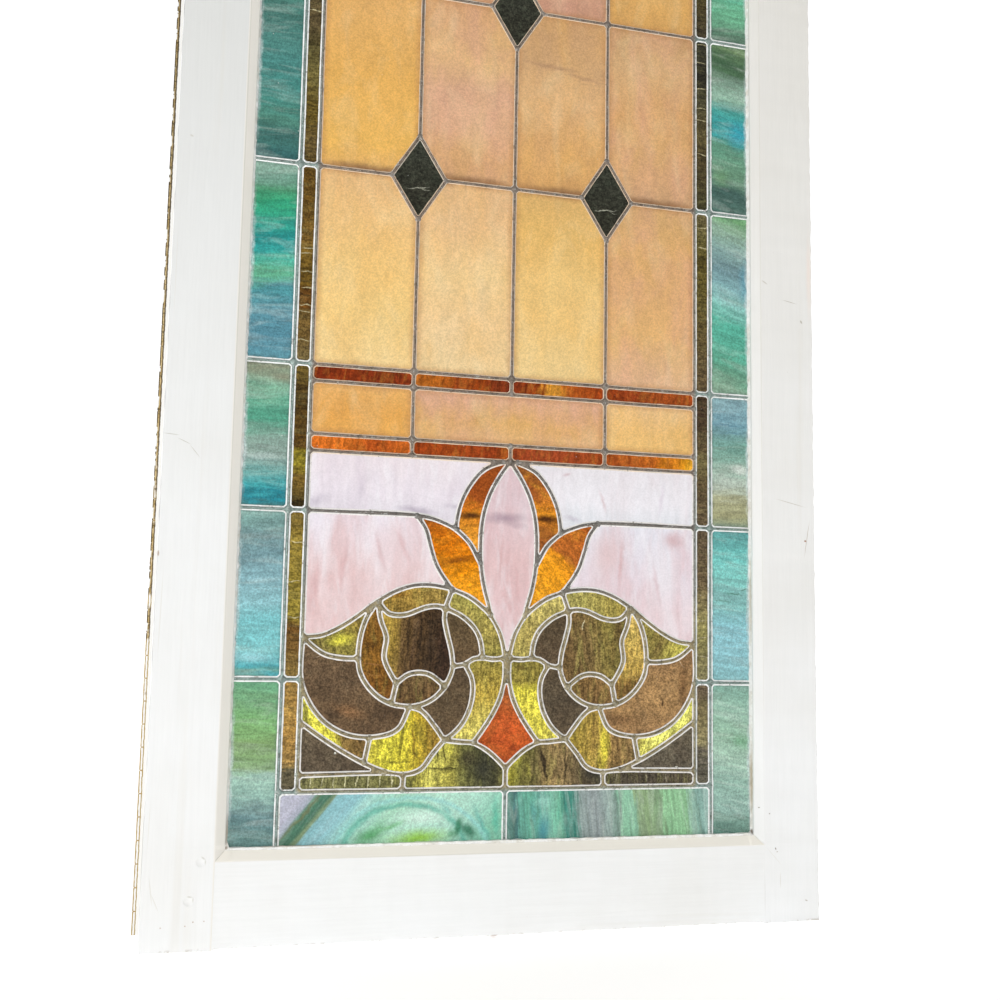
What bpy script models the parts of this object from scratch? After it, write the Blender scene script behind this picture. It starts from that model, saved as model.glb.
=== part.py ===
"""Leaded stained glass window in its painted wooden sash.

The window stands upright with its outer face towards -Y: X runs across it, Y through its
thickness and Z up. The origin is the middle of the sash's underside. Lengths below are in
millimetres and each mesh is made in metres.

The leaded panel is drawn the way a glazier draws one, as the centre lines of its lead cames.
The lines cut the panel into regions. Each region gives one opening of the lead network, with a
groove all round it, and one piece of glass that sits in that groove.
"""
import math

import bmesh
import bpy
from mathutils import Vector
from mathutils.geometry import delaunay_2d_cdt

MM = 0.001

# Sash
SASH_WIDTH = 677.0
SASH_HEIGHT = 1458.0
SASH_THICKNESS = 35.0
STILE_WIDTH = 63.5
BOTTOM_RAIL = 78.0
TOP_RAIL = 63.5
CHAMFER_WIDTH = 9.0
CHAMFER_DEPTH = 6.0
LIP_DEPTH = 10.0
TENON_LENGTH = 45.0
TENON_THICKNESS = 11.0
TENON_SHOULDER = 14.0
FIT_GAP = 0.3

# Leaded panel: its came, its glass and where its lines run
CAME_FACE = 5.0
CAME_HEIGHT = 5.0
CAME_HEART = 1.2
GROOVE_HEIGHT = 3.6
GLASS_THICKNESS = 3.0
GLASS_INSET = 1.0
PANEL_MARGIN = 0.7
BORDER_LINE = 220.0
STRIP_LINE = 202.3
COLUMN_PITCH = 101.2
FOOT_LINE = 137.0
BAND_LINES = (460.2, 476.6, 528.7, 545.0)
FIRST_ROW = 200.0
ROW_PITCH = 196.0
ROWS = 4
TOP_STRIP = 18.0
PETAL_LINE = 265.0
SCROLL_LINE = 104.5
BOTTOM_STRIP = 15.5
DIAMOND_HALF_WIDTH = 28.0
DIAMOND_HALF_HEIGHT = 44.0

# Metal weatherstrip on the left edge of the sash
STRIP_METAL = 0.6
STRIP_REACH = 6.0
STRIP_END_GAP = 16.0

# How closely a curved lead line is followed
CURVE_TURN = math.radians(17.0)
CURVE_STEP = 18.0
CURVE_SAMPLES = 14

HALF_WIDTH = SASH_WIDTH / 2
FRONT = -SASH_THICKNESS / 2
BACK = SASH_THICKNESS / 2
DAYLIGHT = HALF_WIDTH - STILE_WIDTH
LIP_BACK = FRONT + LIP_DEPTH
TOP_ARRIS = SASH_HEIGHT - TOP_RAIL
PANEL_Y = LIP_BACK + FIT_GAP + CAME_HEIGHT / 2
PANEL_HALF = DAYLIGHT - PANEL_MARGIN
PANEL_BOTTOM = BOTTOM_RAIL + PANEL_MARGIN
PANEL_TOP = TOP_ARRIS - PANEL_MARGIN
EDGE_LINE = PANEL_HALF - CAME_FACE / 2
EDGE_BOTTOM = PANEL_BOTTOM + CAME_FACE / 2
EDGE_TOP = PANEL_TOP - CAME_FACE / 2
BAND_TOP = BAND_LINES[-1]
ROW_LINES = [BAND_TOP + FIRST_ROW + ROW_PITCH * row for row in range(ROWS - 1)]
TOP_LINE = BAND_TOP + FIRST_ROW + ROW_PITCH * (ROWS - 1)
FIELD_TOP = TOP_LINE - TOP_STRIP

# The ornament's curved lead lines on the right of the centre line. Each point is (distance from
# the centre line, height above FOOT_LINE). The left half is their mirror image.
SHOULDER_JOINT = (131.0, 180.0)
PETAL_JOINT = (57.0, 193.5)
BUD_JOINT = (16.5, 167.0)
RING_JOINT = (63.7, 175.0)
SADDLE_JOINT = (25.0, 127.0)
LENS_JOINT = (111.0, 101.5)
RING_FOOT = (97.5, 79.3)
LOBE_JOINT = (62.3, 47.5)
KITE_CORNER = (33.0, 44.7)
STEM_GAP = 2.2
STEM_TOP = 129.0
STEM_END = 106.0
CURVES = {
    "shoulder": [(STRIP_LINE, 144.3), (181, 147.3), (155, 162), SHOULDER_JOINT, (104, 194),
                 (80.5, 197), PETAL_JOINT, (36, 184), BUD_JOINT, (8, 152), (3.2, 136),
                 (STEM_GAP, STEM_TOP)],
    "kite side": [(STEM_GAP, STEM_END), (7.2, 86), (18.5, 64.5), KITE_CORNER],
    "ring": [SHOULDER_JOINT, (142.5, 161), (147.9, 137), (146.6, 113), (134, 93.5), (117, 82.5),
             RING_FOOT, (78, 84.5), (62.5, 98.6), (55.2, 118), (58.5, 140), (64, 160), RING_JOINT],
    "tulip side": [SHOULDER_JOINT, (128.3, 164), (121.6, 145), (123.2, 125), LENS_JOINT],
    "cap": [SHOULDER_JOINT, (120, 168.2), (104, 167.3), (88, 173.5), (75, 176.4), RING_JOINT],
    "ring divider": [PETAL_JOINT, RING_JOINT],
    "inner ring": [RING_JOINT, (46.5, 167), (33, 154.5), (26.6, 140), SADDLE_JOINT],
    "saddle": [(STEM_GAP, 126.8), (12.5, 125.6), SADDLE_JOINT, (34.5, 125.6), (43, 120.3),
               (55.2, 118)],
    "stem edge": [(43, 120.3), (35.6, 106), (34.8, 89), (40, 71), (50, 56.5), LOBE_JOINT],
    "foot": [LOBE_JOINT, (47, 45.6), KITE_CORNER, (20, 38), (9, 29.5), (0, 20)],
    "leaf": [(STRIP_LINE, 144.3), (192, 135.3), (181, 128.3), (166, 124.8), (147.9, 124.8)],
    "lens": [LENS_JOINT, (98, 110.4), (80, 110.8), (62.5, 98.6)],
    "lens end": [LENS_JOINT, (115, 81.7)],
    "crescent": [(STRIP_LINE, SCROLL_LINE), (195, 85), (178, 64), (154, 52), (128, 50.6),
                 (108, 58), RING_FOOT],
    "sweep": [(STRIP_LINE, 65), (176, 46.5), (142, 26.8), (118, 17.2), (99, 15.2), (84, 20.5),
              (73, 35), LOBE_JOINT],
    "sweep divider": [(136, 50.4), (140, 25.8)],
    "lobe": [RING_FOOT, (86, 75.8), (76, 66), LOBE_JOINT],
    "strip end": [(102.5, 15.3), (102.5, 0)],
    "strip top": [(STRIP_LINE, BOTTOM_STRIP), (114, 16.3)],
    "bud side": [(0, 323.2), (13.5, 303), (23.5, 281), (28.4, 256), (29, 230), (26.4, 204),
                 BUD_JOINT],
    "petal back": [(4, 323.2), (27, 314), (45.5, 290.5), (54, 264.5), (54.4, 252.4)],
    "petal top": [(95, PETAL_LINE), (74, 261.2), (54.4, 252.4), (39.5, 238.5), (28.7, 219)],
    "petal foot": [(95, PETAL_LINE), (85.3, 251.5), (78.5, 229), (70.5, 210), PETAL_JOINT],
}

# The larger pieces of glass, each with a point inside it as (x, z)
SIDES = {"left": -1, "right": 1}
ORNAMENT_GLASS = {
    "pink_upper": ((120, 300), "pink_opal"),
    "pink_lower": ((150, 220), "pink_opal"),
    "petal_inner": ((41, 275), "orange_glass"),
    "petal_outer": ((60, 230), "orange_glass"),
    "tulip": ((95, 140), "brown_glass"),
    "crescent": ((165, 90), "brown_glass"),
}


def catmull_rom(points, samples):
    """Points on a smooth curve through all the given ones."""
    if len(points) == 2:
        return [Vector(p) for p in points]
    p = [Vector(q) for q in points]
    p = [2 * p[0] - p[1]] + p + [2 * p[-1] - p[-2]]
    out = []
    for a, b, c, d in zip(p, p[1:], p[2:], p[3:]):
        ta = (b - a).length ** 0.5
        tb = (c - b).length ** 0.5
        tc = (d - c).length ** 0.5
        m1 = (b - a) / ta - (c - a) / (ta + tb) + (c - b) / tb
        m2 = (c - b) / tb - (d - b) / (tb + tc) + (d - c) / tc
        for i in range(samples):
            t = i / samples
            out.append((2 * t**3 - 3 * t**2 + 1) * b + (t**3 - 2 * t**2 + t) * tb * m1
                       + (3 * t**2 - 2 * t**3) * c + (t**3 - t**2) * tb * m2)
    out.append(Vector(points[-1]))
    return out


def flatten(points, joints):
    """A curve as few straight steps: a new one wherever it has turned or run far enough."""
    dense = catmull_rom(points, CURVE_SAMPLES)
    kept = [dense[0]]
    turned = 0.0
    for before, here, after in zip(dense, dense[1:], dense[2:]):
        step = (here - before).angle_signed(after - here, 0.0)
        turned += abs(step)
        run = (here - kept[-1]).length
        joint = any((here - Vector(j)).length < 0.02 for j in joints)
        if joint or turned > CURVE_TURN or run > CURVE_STEP:
            kept.append(here)
            turned = 0.0
    return kept + [dense[-1]]


def ornament_lines():
    """The curved lines on both sides, as (x, z) polylines."""
    joints = {p for points in CURVES.values() for p in (points[0], points[-1])}
    joints |= {PETAL_JOINT, BUD_JOINT, SADDLE_JOINT, RING_FOOT, KITE_CORNER, SHOULDER_JOINT}
    lines = []
    for points in CURVES.values():
        flat = flatten(points, joints)
        for side in SIDES.values():
            lines.append([(side * p.x, FOOT_LINE + p.y) for p in flat])
    return lines


def diamond_centres():
    """Diamonds stand on alternate columns from row to row."""
    centres = []
    for row, z in enumerate(ROW_LINES):
        columns = (-1, 1) if row % 2 == 0 else (0,)
        centres += [(column * COLUMN_PITCH, z) for column in columns]
    return centres


def broken_line(start, end, gaps):
    """A straight line along X or Z with pieces left out, each given as (from, to)."""
    axis = 0 if start[1] == end[1] else 1
    cuts = [start[axis]] + [edge for gap in sorted(gaps) for edge in gap] + [end[axis]]
    pieces = []
    for a, b in zip(cuts[::2], cuts[1::2]):
        ends = [list(start), list(start)]
        ends[0][axis] = a
        ends[1][axis] = b
        pieces.append([tuple(e) for e in ends])
    return pieces


def straight_lines():
    """The perimeter, the borders, the strips, the bands, the columns and the rows."""
    corners = [(-EDGE_LINE, EDGE_BOTTOM), (EDGE_LINE, EDGE_BOTTOM),
               (EDGE_LINE, EDGE_TOP), (-EDGE_LINE, EDGE_TOP)]
    lines = [[a, b] for a, b in zip(corners, corners[1:] + corners[:1])]
    for side in SIDES.values():
        lines.append([(side * BORDER_LINE, EDGE_BOTTOM), (side * BORDER_LINE, EDGE_TOP)])
        lines.append([(side * STRIP_LINE, FOOT_LINE), (side * STRIP_LINE, TOP_LINE)])
        for z in [FOOT_LINE + SCROLL_LINE, FOOT_LINE + PETAL_LINE, BAND_TOP] + ROW_LINES:
            lines.append([(side * EDGE_LINE, z), (side * STRIP_LINE, z)])
        lines.append([(side * STRIP_LINE, FOOT_LINE + PETAL_LINE),
                      (side * CURVES["petal top"][0][0], FOOT_LINE + PETAL_LINE)])
        for low, high in zip(BAND_LINES[0::2], BAND_LINES[1::2]):
            lines.append([(side * COLUMN_PITCH, low), (side * COLUMN_PITCH, high)])
        lines.append([(side * COLUMN_PITCH, BAND_LINES[1]), (side * COLUMN_PITCH, BAND_LINES[2])])
        lines.append([(side * STEM_GAP, FOOT_LINE + STEM_END),
                      (side * STEM_GAP, FOOT_LINE + STEM_TOP)])
    for z in (STEM_END, STEM_TOP):
        lines.append([(-STEM_GAP, FOOT_LINE + z), (STEM_GAP, FOOT_LINE + z)])
    lines.append([(-BORDER_LINE, FOOT_LINE), (BORDER_LINE, FOOT_LINE)])
    lines.append([(-BORDER_LINE, TOP_LINE), (BORDER_LINE, TOP_LINE)])
    lines.append([(-STRIP_LINE, FIELD_TOP), (STRIP_LINE, FIELD_TOP)])
    lines.append([(0, EDGE_BOTTOM), (0, FOOT_LINE + 20)])
    lines.append([(0, TOP_LINE), (0, EDGE_TOP)])
    lines += [[(-STRIP_LINE, z), (STRIP_LINE, z)] for z in BAND_LINES]
    lines += [[(0, low), (0, high)] for low, high in zip(BAND_LINES[0::2], BAND_LINES[1::2])]
    diamonds = diamond_centres()
    for column in (-1, 0, 1):
        x = column * COLUMN_PITCH
        gaps = [(z - DIAMOND_HALF_HEIGHT, z + DIAMOND_HALF_HEIGHT)
                for cx, z in diamonds if cx == x]
        lines += broken_line((x, BAND_TOP), (x, TOP_LINE), gaps)
    for z in ROW_LINES:
        gaps = [(x - DIAMOND_HALF_WIDTH, x + DIAMOND_HALF_WIDTH) for x, cz in diamonds if cz == z]
        lines += broken_line((-STRIP_LINE, z), (STRIP_LINE, z), gaps)
    for x, z in diamonds:
        tips = [(x, z + DIAMOND_HALF_HEIGHT), (x + DIAMOND_HALF_WIDTH, z),
                (x, z - DIAMOND_HALF_HEIGHT), (x - DIAMOND_HALF_WIDTH, z)]
        lines += [[a, b] for a, b in zip(tips, tips[1:] + tips[:1])]
    return lines


def nearest_on(line, point, catch=0.0):
    """The distance to a polyline and its closest point, or its vertex if that is in reach."""
    best = None
    for a, b in zip(line, line[1:]):
        a, b = Vector(a), Vector(b)
        along = b - a
        t = min(max((point - a).dot(along) / along.length_squared, 0.0), 1.0)
        foot = a + along * t
        distance = (point - foot).length
        if best is None or distance < best[0]:
            caught = [v for v in (a, b) if (v - foot).length < catch]
            best = (distance, caught[0] if caught else foot)
    return best


def snapped(lines, reach=3.0, crossing=0.01):
    """Lines whose ends are moved onto the line that they meet, and just across it."""
    out = [list(line) for line in lines]
    for i, line in enumerate(out):
        for end, before in ((0, 1), (-1, -2)):
            point = Vector(line[end])
            others = [nearest_on(other, point, 1.0) for j, other in enumerate(lines) if j != i]
            distance, foot = min(others, key=lambda found: found[0])
            if distance < reach:
                line[end] = tuple(foot + (foot - Vector(line[before])).normalized() * crossing)
    return out


def traced(verts, edges):
    """Closed outlines walked along directed edges, with the inside on the left."""
    leaving = {}
    for a, b in edges:
        leaving.setdefault(a, []).append(b)
    outlines = []
    walked = set()
    for edge in edges:
        outline = []
        while edge not in walked:
            walked.add(edge)
            a, b = edge
            outline.append(verts[a])
            back = verts[a] - verts[b]
            edge = b, min(leaving[b], key=lambda c: clockwise(back, verts[c] - verts[b]))
        outlines.append(straightened(outline))
    return [outline for outline in outlines if len(outline) > 2 and area(outline) > 1.0]


def clockwise(start, direction):
    """The clockwise angle from one direction to another, a full turn for the same one."""
    angle = start.angle_signed(direction, 0.0) % (2 * math.pi)
    return angle if angle > 1e-6 else 2 * math.pi


def regions(lines):
    """The closed outlines that a set of lines cuts the panel into, counter-clockwise."""
    points = []
    edges = []
    for line in lines:
        first = len(points)
        points += [Vector(p) for p in line]
        edges += [(first + i, first + i + 1) for i in range(len(line) - 1)]
    verts, found, _, _, origins, _ = delaunay_2d_cdt(points, edges, [], 0, 1e-3)
    drawn = [edge for edge, origin in zip(found, origins) if origin]
    return traced(verts, drawn + [(b, a) for a, b in drawn])


def area(outline):
    return sum(a.x * b.y - b.x * a.y for a, b in zip(outline, outline[1:] + outline[:1])) / 2


def straightened(outline, slack=0.02, apart=0.05):
    """An outline without the points that lie on a straight run, or on each other."""
    out = []
    for point in outline:
        if all((point - other).length > apart for other in out[-1:] + out[:1]):
            out.append(point)
    kept = []
    for i, point in enumerate(out):
        a, b = (kept or out)[-1], out[(i + 1) % len(out)]
        reach = (b - a).length
        bow = abs((b - a).cross(point - a)) / reach if reach > apart else 0.0
        if bow > slack:
            kept.append(point)
    return kept


def winding(outline, point):
    """How many times an outline runs round a point."""
    turns = 0.0
    for a, b in zip(outline, outline[1:] + outline[:1]):
        turns += math.atan2((a - point).cross(b - point), (a - point).dot(b - point))
    return round(turns / (2 * math.pi))


def meeting(one, other):
    """Where two lines cross, each given as a point on it and its direction."""
    (p, d), (q, e) = one, other
    turn = d.cross(e)
    return q if abs(turn) < 1e-6 else p + d * ((q - p).cross(e) / turn)


def inset(outline, distance):
    """The outline moved inwards. Sides too short to survive the move are dropped."""
    sides = []
    for a, b in zip(outline, outline[1:] + outline[:1]):
        along = (b - a).normalized()
        sides.append((a + Vector((-along.y, along.x)) * distance, along))
    while len(sides) > 2:
        raw = [meeting(sides[i - 1], sides[i]) for i in range(len(sides))]
        runs = [(b - a).dot(side[1]) for a, b, side in zip(raw, raw[1:] + raw[:1], sides)]
        if min(runs) > 0:
            break
        sides.pop(runs.index(min(runs)))
    if len(sides) < 3:
        return []
    edges = [(i, (i + 1) % len(raw)) for i in range(len(raw))]
    verts, _, faces, *_ = delaunay_2d_cdt(raw, edges, [], 0, 1e-4)
    inside = set()
    for face in faces:
        middle = sum((verts[i] for i in face), Vector((0.0, 0.0))) / 3
        clear = nearest_on(outline + outline[:1], middle)[0] > 0.98 * distance
        if clear and winding(raw, middle) == 1 and winding(outline, middle) == 1:
            inside |= {(face[i], face[(i + 1) % 3]) for i in range(3)}
    border = [(a, b) for a, b in inside if (b, a) not in inside]
    return max(traced(verts, border), key=area, default=[])


def contains(outline, x, z):
    return winding(outline, Vector((x, z))) == 1


def material(name, colour, roughness, metallic=0.0):
    """One material of the window, made once."""
    found = bpy.data.materials.get(name)
    if found:
        return found
    made = bpy.data.materials.new(name)
    made.use_nodes = True
    shader = made.node_tree.nodes["Principled BSDF"]
    shader.inputs["Base Color"].default_value = (*colour, 1.0)
    shader.inputs["Roughness"].default_value = roughness
    shader.inputs["Metallic"].default_value = metallic
    return made


FINISHES = {
    "painted_wood": ((0.86, 0.85, 0.81), 0.45, 0.0),
    "putty": ((0.72, 0.68, 0.58), 0.75, 0.0),
    "lead": ((0.20, 0.22, 0.23), 0.45, 1.0),
    "brass": ((0.42, 0.29, 0.09), 0.45, 1.0),
    "green_opal": ((0.13, 0.38, 0.31), 0.18, 0.0),
    "amber_opal": ((0.78, 0.45, 0.16), 0.18, 0.0),
    "pink_opal": ((0.81, 0.68, 0.70), 0.18, 0.0),
    "orange_glass": ((0.72, 0.25, 0.02), 0.15, 0.0),
    "red_glass": ((0.52, 0.10, 0.02), 0.15, 0.0),
    "brown_glass": ((0.10, 0.06, 0.03), 0.15, 0.0),
}


def finished(name, bm, finish):
    """A mesh in millimetres becomes a named object in metres with its material."""
    bmesh.ops.remove_doubles(bm, verts=bm.verts, dist=0.001)
    bmesh.ops.recalc_face_normals(bm, faces=bm.faces)
    bmesh.ops.scale(bm, vec=(MM, MM, MM), verts=bm.verts)
    mesh = bpy.data.meshes.new(name)
    bm.to_mesh(mesh)
    bm.free()
    mesh.materials.append(material(finish, *FINISHES[finish]))
    made = bpy.data.objects.new(name, mesh)
    bpy.context.scene.collection.objects.link(made)
    return made


def slab(name, outline, y_front, y_back, finish):
    """A flat piece of even thickness with the given outline in XZ."""
    bm = bmesh.new()
    verts = [bm.verts.new((p.x, y_front, p.y)) for p in outline]
    face = bm.faces.new(verts)
    extruded = bmesh.ops.extrude_face_region(bm, geom=[face])
    moved = [v for v in extruded["geom"] if isinstance(v, bmesh.types.BMVert)]
    bmesh.ops.translate(bm, vec=(0, y_back - y_front, 0), verts=moved)
    return finished(name, bm, finish)


def filled(bm, loops, heights):
    """Triangles between an outer loop and the loops inside it, each loop at its own Y."""
    points = []
    edges = []
    owner = []
    for k, loop in enumerate(loops):
        first = len(points)
        points += loop
        owner += [k] * len(loop)
        edges += [(first + i, first + (i + 1) % len(loop)) for i in range(len(loop))]
    verts, _, faces, origins, *_ = delaunay_2d_cdt(points, edges, [], 1, 1e-5)
    owners = [owner[origin[0]] for origin in origins]
    made = [bm.verts.new((v.x, heights[k], v.y)) for v, k in zip(verts, owners)]
    for face in faces:
        around = {owners[i] for i in face}
        middle = sum((verts[i] for i in face), Vector((0.0, 0.0))) / 3
        hole = around.pop() if len(around) == 1 else 0
        if not (hole and winding(loops[hole], middle)):
            bm.faces.new([made[i] for i in face])


def wall(bm, loop, y_front, y_back):
    """The band between two copies of a loop."""
    front = [bm.verts.new((p.x, y_front, p.y)) for p in loop]
    back = [bm.verts.new((p.x, y_back, p.y)) for p in loop]
    for i in range(len(loop)):
        j = (i + 1) % len(loop)
        bm.faces.new((front[i], front[j], back[j], back[i]))


def rectangle(half_width, bottom, top):
    return [Vector(p) for p in ((-half_width, bottom), (half_width, bottom),
                                (half_width, top), (-half_width, top))]


def lead_network(outlines):
    """All the cames soldered into one piece, grooved round every opening."""
    bm = bmesh.new()
    edge = rectangle(PANEL_HALF, PANEL_BOTTOM, PANEL_TOP)
    openings = [inset(outline, CAME_FACE / 2) for outline in outlines]
    hearts = [inset(outline, CAME_HEART / 2) for outline in outlines]
    for side in (-1, 1):
        face_y = PANEL_Y + side * CAME_HEIGHT / 2
        groove_y = PANEL_Y + side * GROOVE_HEIGHT / 2
        filled(bm, [edge] + openings, [face_y] * (1 + len(openings)))
        for opening, heart in zip(openings, hearts):
            filled(bm, [heart, opening], [groove_y, face_y])
    for heart in hearts:
        wall(bm, heart, PANEL_Y - GROOVE_HEIGHT / 2, PANEL_Y + GROOVE_HEIGHT / 2)
    wall(bm, edge, PANEL_Y - CAME_HEIGHT / 2, PANEL_Y + CAME_HEIGHT / 2)
    return finished("lead_came_network", bm, "lead")


def glass_list():
    """Name, point inside and finish of each large piece of glass."""
    pieces = []
    levels = [EDGE_BOTTOM, FOOT_LINE + SCROLL_LINE, FOOT_LINE + PETAL_LINE, BAND_TOP] + ROW_LINES
    middle_of_border = (BORDER_LINE + EDGE_LINE) / 2
    for side, sign in SIDES.items():
        for i, (low, high) in enumerate(zip(levels, levels[1:] + [EDGE_TOP])):
            pieces.append((f"green_border_{side}_{i + 1}",
                           (sign * middle_of_border, (low + high) / 2), "green_opal"))
        pieces.append((f"green_border_bottom_{side}", (sign * COLUMN_PITCH, EDGE_BOTTOM + 20),
                       "green_opal"))
        pieces.append((f"green_border_top_{side}", (sign * COLUMN_PITCH, EDGE_TOP - 20),
                       "green_opal"))
    for row, low in enumerate([BAND_TOP] + ROW_LINES):
        for column in range(4):
            x = (column - 1.5) * COLUMN_PITCH
            pieces.append((f"amber_pane_row{row + 1}_{column + 1}", (x, low + 85), "amber_opal"))
    band_middle = (BAND_LINES[1] + BAND_LINES[2]) / 2
    for name, x in (("left", -150), ("middle", 0), ("right", 150)):
        pieces.append((f"amber_band_{name}", (x, band_middle), "amber_opal"))
    for name, ((x, height), finish) in ORNAMENT_GLASS.items():
        for side, sign in SIDES.items():
            pieces.append((f"{name}_{side}", (sign * x, FOOT_LINE + height), finish))
    pieces.append(("pink_bud", (0, FOOT_LINE + 230), "pink_opal"))
    pieces.append(("red_kite", (0, FOOT_LINE + 55), "red_glass"))
    return pieces


def glass(outlines):
    """Each large piece of glass, 0.4 mm clear of the came's heart."""
    for name, (x, z), finish in glass_list():
        around = [outline for outline in outlines if contains(outline, x, z)]
        if len(around) != 1:
            raise ValueError(f"{name}: {len(around)} regions hold its point")
        slab(name, inset(around[0], GLASS_INSET), PANEL_Y - GLASS_THICKNESS / 2,
             PANEL_Y + GLASS_THICKNESS / 2, finish)


def box(bm, low, high):
    made = bmesh.ops.create_cube(bm, size=1.0)["verts"]
    size = [b - a for a, b in zip(low, high)]
    middle = [(a + b) / 2 for a, b in zip(low, high)]
    bmesh.ops.scale(bm, vec=size, verts=made)
    bmesh.ops.translate(bm, vec=middle, verts=made)


def guide(name, bm):
    """A hidden solid that a Boolean modifier reads."""
    made = finished(name, bm, "painted_wood")
    made.hide_render = True
    made.display_type = "WIRE"
    return made


def boolean(target, other, operation):
    modifier = target.modifiers.new(operation.lower(), "BOOLEAN")
    modifier.operation = operation
    modifier.solver = "EXACT"
    modifier.object = other


def lip(name, start, end, inward):
    """The chamfered lip along one inner edge of the sash, mitred at both ends.

    start and end are the corners of the daylight opening, inward is the unit direction from the
    edge towards the opening. The lip reaches 1 mm into its own bar so that the two join.
    """
    root = 1.0
    section = [(-root, FRONT), (0.0, FRONT), (CHAMFER_WIDTH, FRONT + CHAMFER_DEPTH),
               (CHAMFER_WIDTH, LIP_BACK), (-root, LIP_BACK)]
    start, end, inward = Vector(start), Vector(end), Vector(inward)
    along = (end - start).normalized()
    bm = bmesh.new()
    rings = []
    for corner, direction in ((start, 1), (end, -1)):
        ring = []
        for out, y in section:
            mitre = max(out, 0.0) + FIT_GAP
            p = corner + inward * out + along * direction * mitre
            ring.append(bm.verts.new((p.x, y, p.y)))
        rings.append(ring)
    bm.faces.new(rings[0])
    bm.faces.new(list(reversed(rings[1])))
    for i in range(len(section)):
        j = (i + 1) % len(section)
        bm.faces.new((rings[0][i], rings[1][i], rings[1][j], rings[0][j]))
    return guide(name, bm)


def tenon_heights(bottom, top):
    """A tenon stops short of both edges of its rail."""
    return bottom + TENON_SHOULDER, top - TENON_SHOULDER


def stile(name, side):
    """A full-height upright with its lip and a mortise for each rail."""
    bm = bmesh.new()
    xs = sorted((side * DAYLIGHT, side * HALF_WIDTH))
    box(bm, (xs[0], FRONT, 0), (xs[1], BACK, SASH_HEIGHT))
    made = finished(name, bm, "painted_wood")
    corners = (side * DAYLIGHT, BOTTOM_RAIL), (side * DAYLIGHT, TOP_ARRIS)
    boolean(made, lip(f"{name}_lip", *corners, (-side, 0)), "UNION")
    for rail, bottom, top in (("bottom", 0, BOTTOM_RAIL), ("top", TOP_ARRIS, SASH_HEIGHT)):
        low, high = tenon_heights(bottom, top)
        bm = bmesh.new()
        depth = sorted((side * (DAYLIGHT - 1), side * (DAYLIGHT + TENON_LENGTH + FIT_GAP)))
        half = TENON_THICKNESS / 2 + FIT_GAP
        box(bm, (depth[0], -half, low - FIT_GAP), (depth[1], half, high + FIT_GAP))
        boolean(made, guide(f"{name}_{rail}_mortise", bm), "DIFFERENCE")


def rail(name, bottom, top, lip_height, inward):
    """A crosspiece between the stiles, with its lip and a tenon at each end."""
    end = DAYLIGHT - FIT_GAP
    bm = bmesh.new()
    box(bm, (-end, FRONT, bottom), (end, BACK, top))
    made = finished(name, bm, "painted_wood")
    corners = (-DAYLIGHT, lip_height), (DAYLIGHT, lip_height)
    boolean(made, lip(f"{name}_lip", *corners, (0, inward)), "UNION")
    low, high = tenon_heights(bottom, top)
    for side in (-1, 1):
        bm = bmesh.new()
        xs = sorted((side * (end - 1), side * (DAYLIGHT + TENON_LENGTH)))
        box(bm, (xs[0], -TENON_THICKNESS / 2, low), (xs[1], TENON_THICKNESS / 2, high))
        boolean(made, guide(f"{name}_tenon_{side + 1}", bm), "UNION")


def ring(name, section, finish):
    """A strip that runs round the sash's opening. Its section is (distance in, y) points."""
    bm = bmesh.new()
    loops = []
    for out, y in section:
        corners = rectangle(DAYLIGHT - out, BOTTOM_RAIL + out, TOP_ARRIS - out)
        loops.append([bm.verts.new((p.x, y, p.y)) for p in corners])
    for a, b in zip(loops, loops[1:] + loops[:1]):
        for i in range(4):
            j = (i + 1) % 4
            bm.faces.new((a[i], a[j], b[j], b[i]))
    return finished(name, bm, finish)


def came_notches():
    """Room for the cames that run out to the edge of the panel, as one cutter."""
    bm = bmesh.new()
    half = CAME_FACE / 2 + FIT_GAP
    y_front = PANEL_Y - CAME_HEIGHT / 2 - FIT_GAP
    y_back = PANEL_Y + CAME_HEIGHT / 2 + FIT_GAP
    reach = 25.0
    for side in SIDES.values():
        xs = sorted((side * (PANEL_HALF - reach), side * PANEL_HALF))
        for z in [FOOT_LINE + SCROLL_LINE, FOOT_LINE + PETAL_LINE, BAND_TOP] + ROW_LINES:
            box(bm, (xs[0], y_front, z - half), (xs[1], y_back, z + half))
    for x in (-BORDER_LINE, 0, BORDER_LINE):
        for low, high in ((PANEL_BOTTOM, PANEL_BOTTOM + reach), (PANEL_TOP - reach, PANEL_TOP)):
            box(bm, (x - half, y_front, low), (x + half, y_back, high))
    return guide("came_notches", bm)


def putty():
    """The bedding under the lip, showing as a narrow line, and the sloped fillet at the back.

    Both lie on the glass just inside the outermost came and are notched round the cames that
    cross them.
    """
    glass_front = PANEL_Y - GLASS_THICKNESS / 2 - FIT_GAP
    glass_back = PANEL_Y + GLASS_THICKNESS / 2 + FIT_GAP
    came_back = PANEL_Y + CAME_HEIGHT / 2 + FIT_GAP
    inner_came = PANEL_MARGIN + CAME_FACE + FIT_GAP
    lip_edge = CHAMFER_WIDTH + FIT_GAP
    bead = 2.6
    bedding_top = LIP_BACK + FIT_GAP
    fillet_width = 11.5
    fillet_height = 13.0
    front = [(inner_came, glass_front), (lip_edge + bead, glass_front),
             (lip_edge, glass_front - bead), (lip_edge, bedding_top), (inner_came, bedding_top)]
    back = [(FIT_GAP, came_back), (inner_came, came_back), (inner_came, glass_back),
            (fillet_width, glass_back), (fillet_width, glass_back + 1.0),
            (FIT_GAP, came_back + fillet_height)]
    cutter = came_notches()
    boolean(ring("front_putty", front, "putty"), cutter, "DIFFERENCE")
    boolean(ring("back_putty", back, "putty"), cutter, "DIFFERENCE")


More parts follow.
